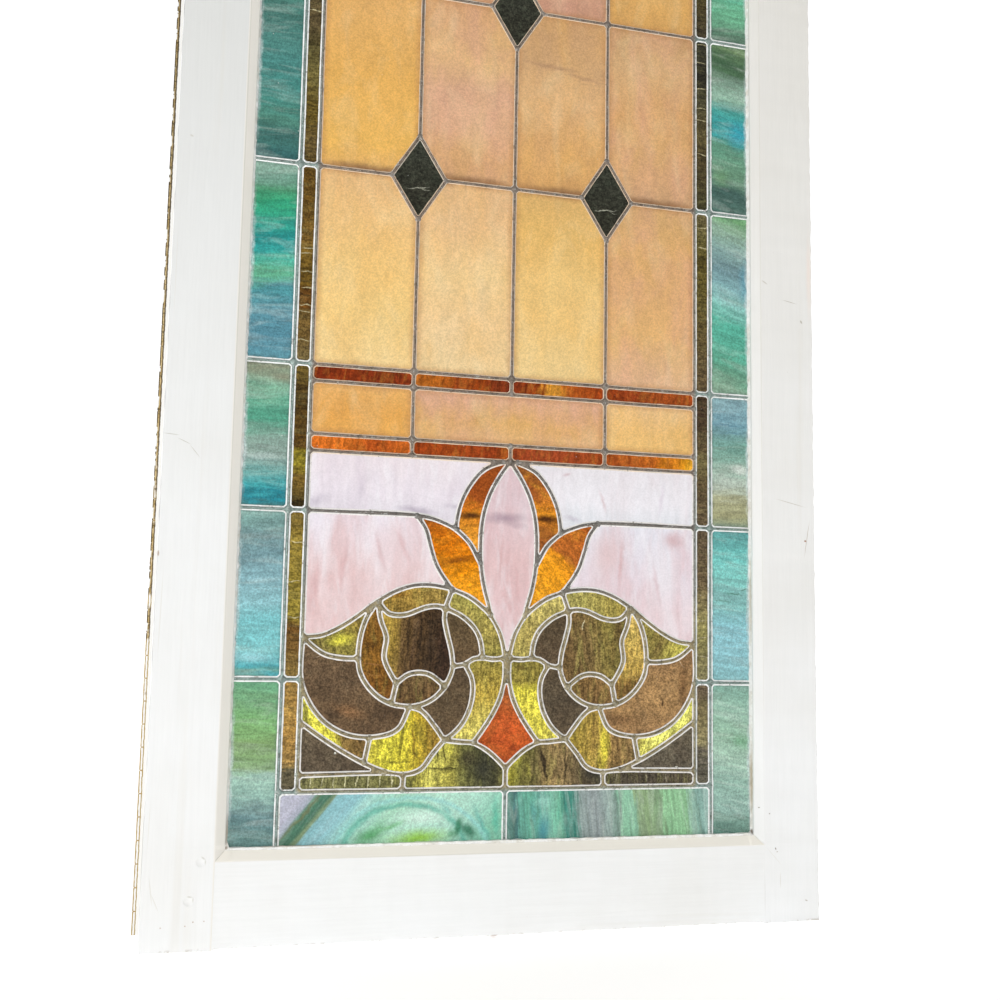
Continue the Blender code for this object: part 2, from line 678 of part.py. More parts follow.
def weatherstrip():
    """A folded metal strip nailed along the left edge: a flat leg, and a spring leg that stands
    off it from a fold at the front."""
    leg_back = 9.0
    fold_y = FRONT + 4.0
    x = -HALF_WIDTH - FIT_GAP
    spring = STRIP_REACH * 0.55
    section = [(x, leg_back), (x, fold_y), (x - STRIP_REACH, fold_y),
               (x - spring, leg_back * 0.6), (x - spring + STRIP_METAL, leg_back * 0.6),
               (x - STRIP_REACH + 1.3 * STRIP_METAL, fold_y + STRIP_METAL),
               (x - STRIP_METAL, fold_y + STRIP_METAL), (x - STRIP_METAL, leg_back)]
    bm = bmesh.new()
    face = bm.faces.new([bm.verts.new((px, py, STRIP_END_GAP)) for px, py in section])
    extruded = bmesh.ops.extrude_face_region(bm, geom=[face])
    moved = [v for v in extruded["geom"] if isinstance(v, bmesh.types.BMVert)]
    bmesh.ops.translate(bm, vec=(0, 0, SASH_HEIGHT - 2 * STRIP_END_GAP), verts=moved)
    return finished("metal_weatherstrip", bm, "brass")


def main():
    for old in list(bpy.data.objects):
        bpy.data.objects.remove(old, do_unlink=True)
    stile("left_stile", -1)
    stile("right_stile", 1)
    rail("bottom_rail", 0, BOTTOM_RAIL, BOTTOM_RAIL, 1)
    rail("top_rail", TOP_ARRIS, SASH_HEIGHT, TOP_ARRIS, -1)
    outlines = regions(snapped(straight_lines() + ornament_lines()))
    outlines = [outline for outline in outlines if inset(outline, CAME_FACE / 2)]
    lead_network(outlines)
    glass(outlines)
    putty()
    weatherstrip()
    print(len(outlines), "openings in the lead")


main()
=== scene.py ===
import math
import random

import bmesh
import bpy
import numpy as np
from mathutils import Matrix, Vector, noise
from mathutils.geometry import delaunay_2d_cdt


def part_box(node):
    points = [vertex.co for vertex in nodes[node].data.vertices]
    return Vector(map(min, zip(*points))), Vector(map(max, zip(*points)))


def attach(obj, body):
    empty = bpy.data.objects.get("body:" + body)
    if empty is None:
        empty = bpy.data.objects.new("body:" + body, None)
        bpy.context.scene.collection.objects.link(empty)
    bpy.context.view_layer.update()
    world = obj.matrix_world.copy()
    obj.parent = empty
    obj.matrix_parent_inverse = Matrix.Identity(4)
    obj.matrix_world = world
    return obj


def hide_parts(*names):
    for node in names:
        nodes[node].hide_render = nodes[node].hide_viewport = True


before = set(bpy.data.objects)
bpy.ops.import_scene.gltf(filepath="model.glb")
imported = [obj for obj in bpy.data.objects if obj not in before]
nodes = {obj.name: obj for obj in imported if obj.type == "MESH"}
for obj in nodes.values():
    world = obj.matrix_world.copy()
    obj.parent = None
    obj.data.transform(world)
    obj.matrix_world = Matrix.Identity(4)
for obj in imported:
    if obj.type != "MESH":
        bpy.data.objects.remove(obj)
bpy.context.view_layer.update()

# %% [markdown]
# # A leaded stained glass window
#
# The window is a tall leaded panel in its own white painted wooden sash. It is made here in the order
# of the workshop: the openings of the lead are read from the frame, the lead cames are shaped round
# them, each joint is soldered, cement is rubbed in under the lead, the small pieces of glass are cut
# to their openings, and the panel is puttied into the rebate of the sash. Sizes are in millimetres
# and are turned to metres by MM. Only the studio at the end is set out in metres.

MM = 0.001

# %% [markdown]
# Every piece is shaped in edit mode, as by hand. An operator acts on whatever is selected, so a few
# small helpers choose the piece, and then its corners, edges or faces by their place.

# %% Choose a piece and its parts


def choose(*pieces):
    """Selects just these pieces; the last one is the active one."""
    bpy.ops.object.select_all(action="DESELECT")
    for piece in pieces:
        piece.select_set(True)
    bpy.context.view_layer.objects.active = pieces[-1]


def edit(piece):
    """Opens a piece in edit mode with all of it selected."""
    choose(piece)
    bpy.ops.object.mode_set(mode="EDIT")
    bpy.ops.mesh.select_all(action="SELECT")


def pick(kind, test):
    """In edit mode, selects just the corners, edges or faces that pass the test."""
    bpy.ops.mesh.select_mode(type=kind)
    bpy.ops.mesh.select_all(action="DESELECT")
    shape = bmesh.from_edit_mesh(bpy.context.object.data)
    for part in {"VERT": shape.verts, "EDGE": shape.edges, "FACE": shape.faces}[kind]:
        if test(part):
            part.select_set(True)
    shape.select_flush_mode()
    bmesh.update_edit_mesh(bpy.context.object.data)


def done():
    """Leaves edit mode and gives the piece."""
    bpy.ops.object.mode_set(mode="OBJECT")
    return bpy.context.object


# %% Shape what is chosen


def moved(x=0.0, y=0.0, z=0.0):
    """In edit mode, moves what is selected by so many millimetres."""
    bpy.ops.transform.translate(value=(x * MM, y * MM, z * MM))


def facing_out():
    """In edit mode, turns all the faces of a piece outwards."""
    bpy.ops.mesh.select_all(action="SELECT")
    bpy.ops.mesh.normals_make_consistent(inside=False)


def cut_across(axis, places):
    """In edit mode, cuts the whole piece across an axis at each place, in millimetres."""
    across = Vector([float(number == axis) for number in range(3)])
    for place in places:
        bpy.ops.mesh.select_all(action="SELECT")
        bpy.ops.mesh.bisect(plane_co=across * place * MM, plane_no=across)


def modified(piece, kind, **settings):
    """Adds a modifier with its settings and applies it."""
    choose(piece)
    modifier = piece.modifiers.new(kind.title(), kind)
    for setting, value in settings.items():
        setattr(modifier, setting, value)
    bpy.ops.object.modifier_apply(modifier=modifier.name)
    return piece


def cloudy_noise(name, size, depth):
    """A noise texture with lumps of about so many millimetres, for the displace modifier."""
    texture = bpy.data.textures.new(name, "CLOUDS")
    texture.noise_scale = size * MM
    texture.noise_depth = depth
    return texture


# %% Copy, join and finish pieces
WELD = 0.01
FLAT = math.radians(1)


def copied(piece, name):
    """A copy of a piece with a mesh of its own."""
    copy = bpy.data.objects.new(name, piece.data.copy())
    copy.data.name = name
    bpy.context.collection.objects.link(copy)
    return copy


def merged_copy(node, name):
    """A copy of a frame node whose loose triangles are merged into whole faces."""
    copy = copied(nodes[node], name)
    edit(copy)
    bpy.ops.mesh.remove_doubles(threshold=WELD * MM)
    bpy.ops.mesh.dissolve_limited(angle_limit=FLAT)
    return done()


def joined(pieces, name):
    """Several pieces made into one mesh that sits at the origin unturned."""
    choose(*pieces)
    bpy.ops.object.join()
    whole = bpy.context.object
    whole.name = whole.data.name = name
    bpy.ops.object.transform_apply(location=True, rotation=True, scale=True)
    return whole


def smooth(piece, angle):
    """Rounded faces shade smoothly and edges sharper than the angle stay crisp."""
    choose(piece)
    bpy.ops.object.shade_smooth_by_angle(angle=math.radians(angle))


def placed(piece, slot, *stands_for):
    """The piece moves with the window and may stand for nodes; its slot is not used."""
    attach(piece, "root")
    if stands_for:
        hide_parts(*stands_for)
    return piece


def measured(piece):
    """Prints a piece's name and how many triangles it has."""
    print(piece.name, sum(len(face.vertices) - 2 for face in piece.data.polygons), "triangles")


def coated(pieces, finish):
    """Gives each piece a material, in place of any that it has."""
    for piece in pieces:
        piece.data.materials.clear()
        piece.data.materials.append(finish)


# %% [markdown]
# ## The openings of the lead
#
# A leaded panel starts as a full-size drawing, and each piece of glass is cut to an opening of it.
# The frame holds the same drawing as one solid lead network, with a groove round each opening. The
# floor of each groove is the outline of an opening, so the outlines are read from there. The frame
# follows its curves in long straight steps, and a smooth curve through the same corners bends them
# back into the line that a glass cutter would follow.

# %% Read the groove of each opening
GROOVE_REACH = 1.2
GROOVE_FRONT = -1.0
WALL = 0.5

lead_low, lead_high = (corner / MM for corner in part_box("lead_came_network"))
PANEL_Y = (lead_low.y + lead_high.y) / 2


def turned_left(loop):
    """The loop as an array that runs anticlockwise."""
    loop = np.array(loop)
    x, z = loop.T
    area = np.sum(x * np.roll(z, -1) - np.roll(x, -1) * z) / 2
    return loop if area > 0 else loop[::-1]


def groove_loops():
    """The front edge of each groove's floor, as a loop of (x, z) corners in millimetres."""
    shape = bmesh.new()
    shape.from_mesh(nodes["lead_came_network"].data)
    bmesh.ops.remove_doubles(shape, verts=shape.verts, dist=WELD * MM)
    ahead = {}
    for edge in shape.edges:
        heights = [corner.co.y / MM - PANEL_Y for corner in edge.verts]
        walls = [face for face in edge.link_faces if abs(face.normal.y) < WALL]
        floor = [abs(face.calc_center_median().y / MM - PANEL_Y) < GROOVE_REACH for face in walls]
        if max(heights) < GROOVE_FRONT and heights[0] == heights[1] and any(floor):
            a, b = edge.verts
            ahead.setdefault(a, []).append(b)
            ahead.setdefault(b, []).append(a)
    loops = []
    while ahead:
        start, (here, _) = next(iter(ahead.items()))
        loop = [start]
        while here is not start:
            loop.append(here)
            here = next(corner for corner in ahead[here] if corner is not loop[-2])
        for corner in loop:
            del ahead[corner]
        loops.append(turned_left([(corner.co.x / MM, corner.co.z / MM) for corner in loop]))
    return loops


loops = groove_loops()
loops.sort(key=lambda loop: np.ptp(loop[:, 1]))
outer_edge = loops.pop()
print(f"{len(loops)} openings in a panel {np.ptp(outer_edge[:, 0]):.1f} mm wide")

# %% [markdown]
# Lead is soft: a came sways a little between its joints, and the solder and cement in the corners
# round each opening off. So each outline is bent back into a smooth line, swayed by a slow noise that
# neighbouring openings share, and then moved in and out again, which rounds its corners. The noise has
# a seed, without which it would start from the clock, and the lead would differ at each run.

# %% Bend an outline back into a smooth line
SHARP_CORNER = math.radians(27)
STEP = 2.0
SWAY = 0.22
SWAY_LENGTH = 60.0
SWAY_SEED = 7
noise.seed_set(SWAY_SEED)


def corners_of(loop):
    """The numbers of the loop's sharp corners."""
    arriving = loop - np.roll(loop, 1, 0)
    leaving = np.roll(loop, -1, 0) - loop
    cross = arriving[:, 0] * leaving[:, 1] - arriving[:, 1] * leaving[:, 0]
    turn = np.arctan2(cross, (arriving * leaving).sum(1))
    return [number for number in range(len(loop)) if abs(turn[number]) > SHARP_CORNER]


def smooth_run(points):
    """A Catmull-Rom curve through the points, with a point about every STEP."""
    ends = np.vstack([2 * points[0] - points[1], points, 2 * points[-1] - points[-2]])
    run = []
    for before, start, end, after in zip(ends, ends[1:], ends[2:], ends[3:]):
        lead_in, span, lead_out = (math.sqrt(math.dist(a, b))
                                   for a, b in ((before, start), (start, end), (end, after)))
        leave = span * ((start - before) / lead_in - (end - before) / (lead_in + span)
                        + (end - start) / span)
        arrive = span * ((end - start) / span - (after - start) / (span + lead_out)
                         + (after - end) / lead_out)
        steps = max(1, round(span ** 2 / STEP))
        for t in np.arange(steps) / steps:
            run.append((2 * t ** 3 - 3 * t ** 2 + 1) * start + (t ** 3 - 2 * t ** 2 + t) * leave
                       + (3 * t ** 2 - 2 * t ** 3) * end + (t ** 3 - t ** 2) * arrive)
    return run


def smoothed(loop):
    """The loop with smooth curves between its sharp corners, swayed as soft lead is."""
    sharp = corners_of(loop)
    loop = np.roll(loop, -sharp[0], 0)
    sharp = [number - sharp[0] for number in sharp] + [len(loop)]
    loop = np.vstack([loop, loop[:1]])
    line = [point for a, b in zip(sharp, sharp[1:]) for point in smooth_run(loop[a:b + 1])]
    sway = [noise.noise_vector(Vector((x, z, 0)) / SWAY_LENGTH)[:2] for x, z in line]
    return np.array(line) + SWAY * np.array(sway)


# %% Move an outline in or out
LEAST_TURN = math.radians(9)


def clearance(places, outline):
    """How far each place is from the nearest stretch of the outline."""
    run = np.roll(outline, -1, 0) - outline
    reach = places[:, None] - outline
    along = np.clip((reach * run).sum(2) / (run ** 2).sum(1), 0, 1)
    return np.linalg.norm(reach - along[..., None] * run, axis=2).min(1)


def offset(outline, distance):
    """The outline moved inwards by a distance, or outwards by a negative one."""
    run = np.roll(outline, -1, 0) - outline
    heading = np.arctan2(run[:, 1], run[:, 0]) + math.pi / 2
    places = []
    for number, corner in enumerate(outline):
        turn = (heading[number] - heading[number - 1] + math.pi) % (2 * math.pi) - math.pi
        steps = math.ceil(abs(turn) / LEAST_TURN)
        for part in np.linspace(0, 1, steps + 1) if steps > 1 else (0.5,):
            angle = heading[number - 1] + turn * part
            places.append(corner + distance * np.array((math.cos(angle), math.sin(angle))))
    places = np.array(places)
    return places[clearance(places, outline) > abs(distance) - WELD]


# %% Thin the points, and draw the rim of each flange
HEART_TO_FLANGE = 0.5
CORNER_RADIUS = 1.8
LONGEST_STEP = 3.2
LEAST_STEP = 0.35


def thinned(outline):
    """Only the points where the outline has turned or run far enough since the last one."""
    kept = [outline[0]]
    for here, after in zip(outline[1:], outline[2:]):
        run, leaving = here - kept[-1], after - here
        turn = math.atan2(run[0] * leaving[1] - run[1] * leaving[0], run @ leaving)
        far = math.hypot(*run)
        if far > LONGEST_STEP or (far > LEAST_STEP and abs(turn) > LEAST_TURN):
            kept.append(here)
    return np.array(kept)


outlines = [smoothed(loop) for loop in loops]
rims = [thinned(offset(offset(outline, HEART_TO_FLANGE + CORNER_RADIUS), -CORNER_RADIUS))
        for outline in outlines]
print(f"{sum(len(rim) for rim in rims)} points round the flanges")

# %% [markdown]
# ## The lead cames
#
# A came is a strip of lead drawn through a die to an H section: two flanges joined by a thin heart,
# with the glass in the grooves between them. Once its joints are soldered, a panel's lead is a single
# network. It is made in three layers. Each starts as a flat sheet filled between the panel's edge and
# the outlines of the openings. Extruding gives the edge of the flange, and two insets that step
# outwards round it over into the low crown of a drawn came.

# %% A flat sheet between outlines
NEAR_ENOUGH = 1e-5


def contains(outlines, places):
    """Which places lie inside the outlines; a second outline round a place is a hole."""
    inside = np.zeros(len(places), bool)
    x, z = np.array(places).T
    for outline in outlines:
        for (ax, az), (bx, bz) in zip(outline, np.roll(outline, -1, 0)):
            if az != bz:
                inside ^= ((az > z) != (bz > z)) & (x < ax + (z - az) * (bx - ax) / (bz - az))
    return inside


def sheet(name, outlines, height, holes=False):
    """A flat sheet that faces the front: one face in each outline, or one with the rest as holes."""
    rings, first = [], 0
    for outline in outlines:
        rings.append(list(range(first, first + len(outline))))
        first += len(outline)
    corners = [Vector(point) for outline in outlines for point in outline]
    faces = rings
    if holes:
        edges = [edge for ring in rings for edge in zip(ring, ring[1:] + ring[:1])]
        corners, _, cut, *_ = delaunay_2d_cdt(corners, edges, [], 0, NEAR_ENOUGH)
        middles = [sum((corners[corner] for corner in face), Vector((0, 0))) / 3 for face in cut]
        faces = [face for face, solid in zip(cut, contains(outlines, middles)) if solid]
    mesh = bpy.data.meshes.new(name)
    places = [(corner.x * MM, (PANEL_Y - height) * MM, corner.y * MM) for corner in corners]
    mesh.from_pydata(places, [], faces)
    piece = bpy.data.objects.new(name, mesh)
    bpy.context.collection.objects.link(piece)
    edit(piece)
    if mesh.polygons[0].normal.y > 0:
        bpy.ops.mesh.flip_normals()
    bpy.ops.mesh.delete_loose()
    bpy.ops.mesh.select_all(action="SELECT")
    return piece


# %% Pull a sheet out, and mirror a piece to the back


def pulled(height):
    """In edit mode, extrudes what is selected towards the front by so many millimetres."""
    bpy.ops.mesh.extrude_region_move(TRANSFORM_OT_translate={"value": (0, -height * MM, 0)})


def mirrored_to_back(piece, name):
    """A copy of a front piece turned over to the back of the panel."""
    copy = copied(piece, name)
    edit(copy)
    bpy.ops.transform.resize(value=(1, -1, 1), center_override=(0, PANEL_Y * MM, 0))
    bpy.ops.mesh.flip_normals()
    return done()


# %% The two flanges and the heart
FLANGE_UNDERSIDE = 1.6
FLANGE_EDGE = 0.3
CROWN_STEPS = ((0.3, 0.4), (0.4, 0.2))
CAME_CREASE = 50

flange = sheet("lead_came_front_flange", [outer_edge, *rims], FLANGE_UNDERSIDE, holes=True)
pulled(FLANGE_EDGE)
for inwards, upwards in CROWN_STEPS:
    bpy.ops.mesh.inset(thickness=inwards * MM, depth=upwards * MM, use_even_offset=False)
facing_out()
flange = placed(done(), "lead", "lead_came_network")
back_flange = placed(mirrored_to_back(flange, "lead_came_back_flange"), "lead", "lead_came_network")
sheet("lead_came_heart", [outer_edge, *map(thinned, outlines)], FLANGE_UNDERSIDE, holes=True)
pulled(-2 * FLANGE_UNDERSIDE)
facing_out()
heart = placed(done(), "lead", "lead_came_network")
for piece in (flange, back_flange, heart):
    smooth(piece, CAME_CREASE)
    measured(piece)

# %% [markdown]
# ## The cement under the lead
#
# A finished panel is scrubbed with cement, a paste of whiting and linseed oil, which fills the grooves
# and stops the rattle. A thin pale line of it stays along every flange. It is made as one ring for each
# opening, front and back: a face with the outline of the flange is inset twice, first rising and then
# falling, and its middle is deleted. Lumpy noise then makes the line as uneven as a scrubbing brush
# leaves it. Round the panes of the field the line is thinner, because there it was picked cleaner.

# %% One ring of cement for each opening
CEMENT_FOOT = 1.45
CEMENT_RISE = (0.45, 0.6)
CEMENT_FALL = {"border": (1.2, -0.4), "field": (0.65, -0.4)}
FIELD_HALF = 202.0
FIELD_FOOT = 458.0
CEMENT_BODY = 0.5
CEMENT_LUMP = 4.0
CEMENT_UNEVEN = 0.8
ROUND_EDGES = 60

lumps = cloudy_noise("cement_lumps", CEMENT_LUMP, 2)


def in_field(rim):
    """Whether an opening belongs to the amber field or the bands under it."""
    x, z = rim.mean(axis=0)
    return abs(x) < FIELD_HALF and z > FIELD_FOOT


cements = []
for area, fall in CEMENT_FALL.items():
    lined = [rim for rim in rims if in_field(rim) == (area == "field")]
    cement = sheet(f"cement_front_{area}", lined, CEMENT_FOOT)
    for inwards, upwards in (CEMENT_RISE, fall):
        bpy.ops.mesh.inset(thickness=inwards * MM, depth=upwards * MM, use_individual=True)
    bpy.ops.mesh.delete(type="FACE")
    bpy.ops.mesh.select_all(action="SELECT")
    pulled(-CEMENT_BODY)
    facing_out()
    cements.append(done())
    cements.append(mirrored_to_back(cement, f"cement_back_{area}"))
for piece in cements:
    modified(piece, "DISPLACE", texture=lumps, strength=CEMENT_UNEVEN * MM, mid_level=0.5)
    smooth(piece, ROUND_EDGES)
    measured(placed(piece, "putty"))

# %% [markdown]
# ## Soldered joints
#
# Where cames meet, their flanges are joined with a drop of tin and lead solder, which spreads into a
# low round mound. A circle is extruded and inset twice as it rises, and its corners are moved a little
# at random. Four such mounds are modelled once, and one of them is copied to every joint, turned and
# stretched a little differently each time.

# %% Find the joints
JOINT_REACH = 4.0
EDGE_CAME = 8.0
edge_line = smoothed(outer_edge)
inner_edge = offset(edge_line, EDGE_CAME)
joints = []
for loop in loops:
    for number in corners_of(loop):
        near = [joint for joint in joints if math.dist(np.mean(joint, 0), loop[number]) < JOINT_REACH]
        if near:
            near[0].append(loop[number])
        else:
            joints.append([loop[number]])
joints = [np.mean(joint, 0) for joint in joints]
joints = [joint for joint in joints if contains([inner_edge], [joint])[0]]
print(f"{len(joints)} joints")

# %% Four mounds
MOUNDS = 4
SOLDER_RADIUS = 2.9
SOLDER_SIDES = 14
SOLDER_EDGE = 0.3
SOLDER_STEPS = ((0.8, 0.4), (1.1, 0.2))
SOLDER_UNEVEN = 0.28

mounds = []
for number in range(MOUNDS):
    bpy.ops.object.select_all(action="DESELECT")
    bpy.ops.mesh.primitive_circle_add(vertices=SOLDER_SIDES, radius=SOLDER_RADIUS * MM, fill_type="NGON",
                                      rotation=(math.pi / 2, 0, 0))
    bpy.ops.object.transform_apply(rotation=True)
    edit(bpy.context.object)
    pulled(SOLDER_EDGE)
    for inwards, upwards in SOLDER_STEPS:
        bpy.ops.mesh.inset(thickness=inwards * MM)
        moved(y=-upwards)
    facing_out()
    bpy.ops.transform.vertex_random(offset=SOLDER_UNEVEN * MM, seed=number)
    mounds.append(done())
    measured(mounds[-1])

# %% One mound copied to each joint
SOLDER_FOOT = 1.65
STRETCH = (0.85, 1.15)

draw = random.Random(7)
for side, face in ((-1, "front"), (1, "back")):
    drops = []
    for x, z in joints:
        drop = copied(draw.choice(mounds), "drop")
        drop.location = (x * MM, (PANEL_Y + side * SOLDER_FOOT) * MM, z * MM)
        drop.rotation_euler = (0, draw.uniform(0, 2 * math.pi), math.pi if side > 0 else 0)
        drop.scale = (draw.uniform(*STRETCH), 1, draw.uniform(*STRETCH))
        drops.append(drop)
    solder = joined(drops, f"solder_joints_{face}")
    smooth(solder, ROUND_EDGES)
    measured(placed(solder, "lead", "lead_came_network"))
for mound in mounds:
    bpy.data.objects.remove(mound)

# %% [markdown]
# ## The small pieces of glass
#
# The frame holds the large pieces of glass. The small ones are cut here, each to the outline of its
# own opening with a little play all round, as a cutter does. Each is named for its place and found by
# a point inside its opening, given as (x, z).

# %% Where each small piece goes
SCROLL = {
    "scroll_bottom_strip": (138, 147), "scroll_corner": (165, 172), "scroll_outer_band": (187, 200),
    "scroll_leaf": (99, 183), "scroll_bottom": (54, 163), "scroll_teardrop": (61, 223),
    "scroll_stem_band": (30, 227), "scroll_lens": (87, 233), "scroll_brown_band": (129, 262),
    "scroll_small_piece": (44, 279), "scroll_leaf_tip": (161, 284), "scroll_inner_ring": (26, 291),
    "scroll_ring_top": (95, 318),
}
STRIP_HEIGHTS = (189, 322, 473, 645, 843, 1039, 1235)
COLUMN_MIDDLES = (-152, -51, 51, 152)
STRIP_MIDDLE = 211
DIAMONDS = [(-101, 745), (101, 745), (0, 941), (-101, 1137), (101, 1137)]

small = {}
for side, name in ((-1, "left"), (1, "right")):
    for piece, (x, z) in SCROLL.items():
        small[f"{piece}_{name}"] = (side * x, z)
    for number, z in enumerate(STRIP_HEIGHTS, 1):
        small[f"inner_strip_{name}_{number}"] = (side * STRIP_MIDDLE, z)
for number, x in enumerate(COLUMN_MIDDLES, 1):
    small[f"lower_band_{number}"] = (x, 468)
    small[f"upper_band_{number}"] = (x, 537)
    small[f"top_strip_{number}"] = (x, 1324)
for number, place in enumerate(DIAMONDS, 1):
    small[f"dark_diamond_{number}"] = place
print(len(small), "small pieces to cut")

# %% Cut them
PLAY = 0.4
GLASS_HALF = 1.5

for name, place in small.items():
    opening = next(outline for outline in outlines if contains([outline], [place])[0])
    sheet(name, [thinned(offset(opening, PLAY))], -GLASS_HALF)
    pulled(2 * GLASS_HALF)
    facing_out()
    placed(done(), "brown_glass")
print("cut:", ", ".join(small))

# %% [markdown]
# ## The sash
#
# The sash is four pieces of softwood, planed, moulded and joined by pinned tenons, under many coats of
# white paint. The frame gives the joinery. A copy of each member is cut across every few millimetres,
# which gives its long edges enough corners to be made slightly uneven: paint and use never leave an
# edge dead straight. The front edges at the right and along the foot are well rounded, and ragged where
# paint has chipped. The shoulders of the rails are moved up against the stiles, because paint has closed
# the joints.

# %% Which corners paint and wear have reached
# Half widths of the daylight and of the sash, and heights of the rails' inner arrises.
DAYLIGHT = 275.0
SASH_HALF = 338.5
RAIL_TOP = 78.0
TOP_ARRIS = 1394.5
# Reach of the mitre, the fade beyond it, the shoulder line, the tenon and the outer edge.
MITRE = 14.0
JOINT_FADE = 40.0
SHOULDER = 2.0
TENON_END = 321.0
TENON_HALF = 6.0
OUTER_EDGE = 4.0


def clear(corner):
    """Whether a corner is away from the joints, where the moulding meets in a mitre."""
    x, y, z = abs(corner.co.x) / MM, abs(corner.co.y) / MM, corner.co.z / MM
    mitred = abs(x - DAYLIGHT) < MITRE and min(abs(z - RAIL_TOP), abs(z - TOP_ARRIS)) < MITRE
    shoulder = abs(x - DAYLIGHT) < SHOULDER and (z < RAIL_TOP + SHOULDER or z > TOP_ARRIS - SHOULDER)
    tenon = DAYLIGHT - SHOULDER < x < TENON_END and y < TENON_HALF
    return not (mitred or shoulder or tenon)


def freedom(corner, axis):
    """How freely paint has rounded and moved a corner: not at the joints, and fully away from them."""
    x, z = abs(corner.co.x) / MM, corner.co.z / MM
    away = DAYLIGHT - x if axis == 0 else min(abs(z - RAIL_TOP), abs(z - TOP_ARRIS))
    return min(1.0, max(0.0, (away - MITRE) / JOINT_FADE)) if clear(corner) else 0.0


def outer(corner):
    """Whether a corner is at the front of the sash's right edge or underside, which are worn."""
    return corner.co.y < 0 and (corner.co.x / MM > SASH_HALF - OUTER_EDGE or corner.co.z / MM < OUTER_EDGE)


def covered(corner):
    """Whether a corner is on the arris that the weatherstrip covers."""
    return corner.co.x / MM < -SASH_HALF + 1 and corner.co.y < 0


# %% Paint-softened members
SLICE = 4.5
ARRIS_ANGLE = math.radians(25)
EDGE_ROUND = 0.9
OUTER_ANGLE = math.radians(60)
OUTER_ROUND = 2.2
RAIL_REACH = 263.0
SHOULDER_GAP = 0.32
PAINT_UNEVEN = 0.7
CHIP_DEPTH = 2.0
WOOD_CREASE = 30

waves = cloudy_noise("paint_waves", 22.0, 3)
chips = cloudy_noise("paint_chips", 7.0, 3)


def softened(node, name, axis):
    """A painted copy of a sash member, with rounded and slightly uneven edges."""
    piece = merged_copy(node, name)
    low, high = (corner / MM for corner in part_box(node))
    edit(piece)
    cut_across(axis, np.arange(low[axis] + SLICE / 2, high[axis] - 1, SLICE))
    pick("EDGE", lambda edge: edge.calc_face_angle(0) > ARRIS_ANGLE
         and all(clear(corner) and not outer(corner) and not covered(corner) for corner in edge.verts))
    bpy.ops.mesh.bevel(offset=EDGE_ROUND * MM, segments=2)
    pick("EDGE", lambda edge: edge.calc_face_angle(0) > OUTER_ANGLE
         and all(clear(corner) and outer(corner) for corner in edge.verts))
    bpy.ops.mesh.bevel(offset=OUTER_ROUND * MM, segments=3)
    if axis == 0:
        for side in (-1, 1):
            pick("VERT", lambda corner: RAIL_REACH < side * corner.co.x / MM < DAYLIGHT
                 and not clear(corner))
            moved(x=side * SHOULDER_GAP)
    done()
    free = piece.vertex_groups.new(name="away from joints")
    worn = piece.vertex_groups.new(name="worn edges")
    for corner in piece.data.vertices:
        free.add([corner.index], freedom(corner, axis), "REPLACE")
        if clear(corner) and outer(corner):
            worn.add([corner.index], 1.0, "REPLACE")
    modified(piece, "DISPLACE", texture=waves, strength=PAINT_UNEVEN * MM, mid_level=1.0,
             vertex_group="away from joints")
    modified(piece, "DISPLACE", texture=chips, strength=CHIP_DEPTH * MM, mid_level=0.85,
             vertex_group="worn edges")
    smooth(piece, WOOD_CREASE)
    measured(piece)
    return placed(piece, "painted_wood", node)


sash = {side: softened(f"{side}_{kind}", f"{side}_{kind}_painted", axis)
        for side, kind, axis in (("left", "stile", 2), ("right", "stile", 2),
                                 ("bottom", "rail", 0), ("top", "rail", 0))}

# %% [markdown]
# Each tenon is held by wooden pins, and the paint has sunk a little over the ends of some. A sphere
# that only dips into the face leaves such a shallow dish. The normals are then weighted by area, so
# that rounded edges don't darken the flat faces beside them.

# %% Hollows over the pins
PIN_HOLLOWS = {"left": [(-287.6, 78.0, 1.1), (-297.0, 44.0, 1.1)], "right": [(299.0, 41.0, 0.5)]}
DISH_RADIUS = 11.0
FRONT_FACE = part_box("left_stile")[0].y / MM

for side, pins in PIN_HOLLOWS.items():
    for x, z, depth in pins:
        bpy.ops.object.select_all(action="DESELECT")
        middle = Vector((x, FRONT_FACE + depth - DISH_RADIUS, z))
        bpy.ops.mesh.primitive_uv_sphere_add(segments=48, ring_count=24, radius=DISH_RADIUS * MM,
                                             location=middle * MM, rotation=(math.pi / 2, 0, 0))
        cutter = bpy.context.object
        smooth(cutter, ROUND_EDGES)
        modified(sash[side], "BOOLEAN", object=cutter, operation="DIFFERENCE")
        bpy.data.objects.remove(cutter)
for member in sash.values():
    measured(modified(member, "WEIGHTED_NORMAL", keep_sharp=True))

# %% [markdown]
# ## Putty
#
# The panel lies against the lip of the sash in a bed of putty, which slopes from the front of the lip
# down to the glass and shows as a ragged narrow line round it. At the back a sloped fillet holds the
# panel in. Both are rings of a simple section, and noise makes them as uneven as a knife and a thumb do.

# %% The ragged bed of putty at the front
BED_OUTER, BED_INNER = 268.5, 264.2
BED_SPLIT = 266.3
BED_FOOT, BED_HEAD = 89.0, 1383.0
BED_START = GLASS_HALF - 0.1
BED_DEPTH = 5.2
BED_SLOPE = 4.4
BED_UNEVEN = 2.8
BED_CREASE = 50

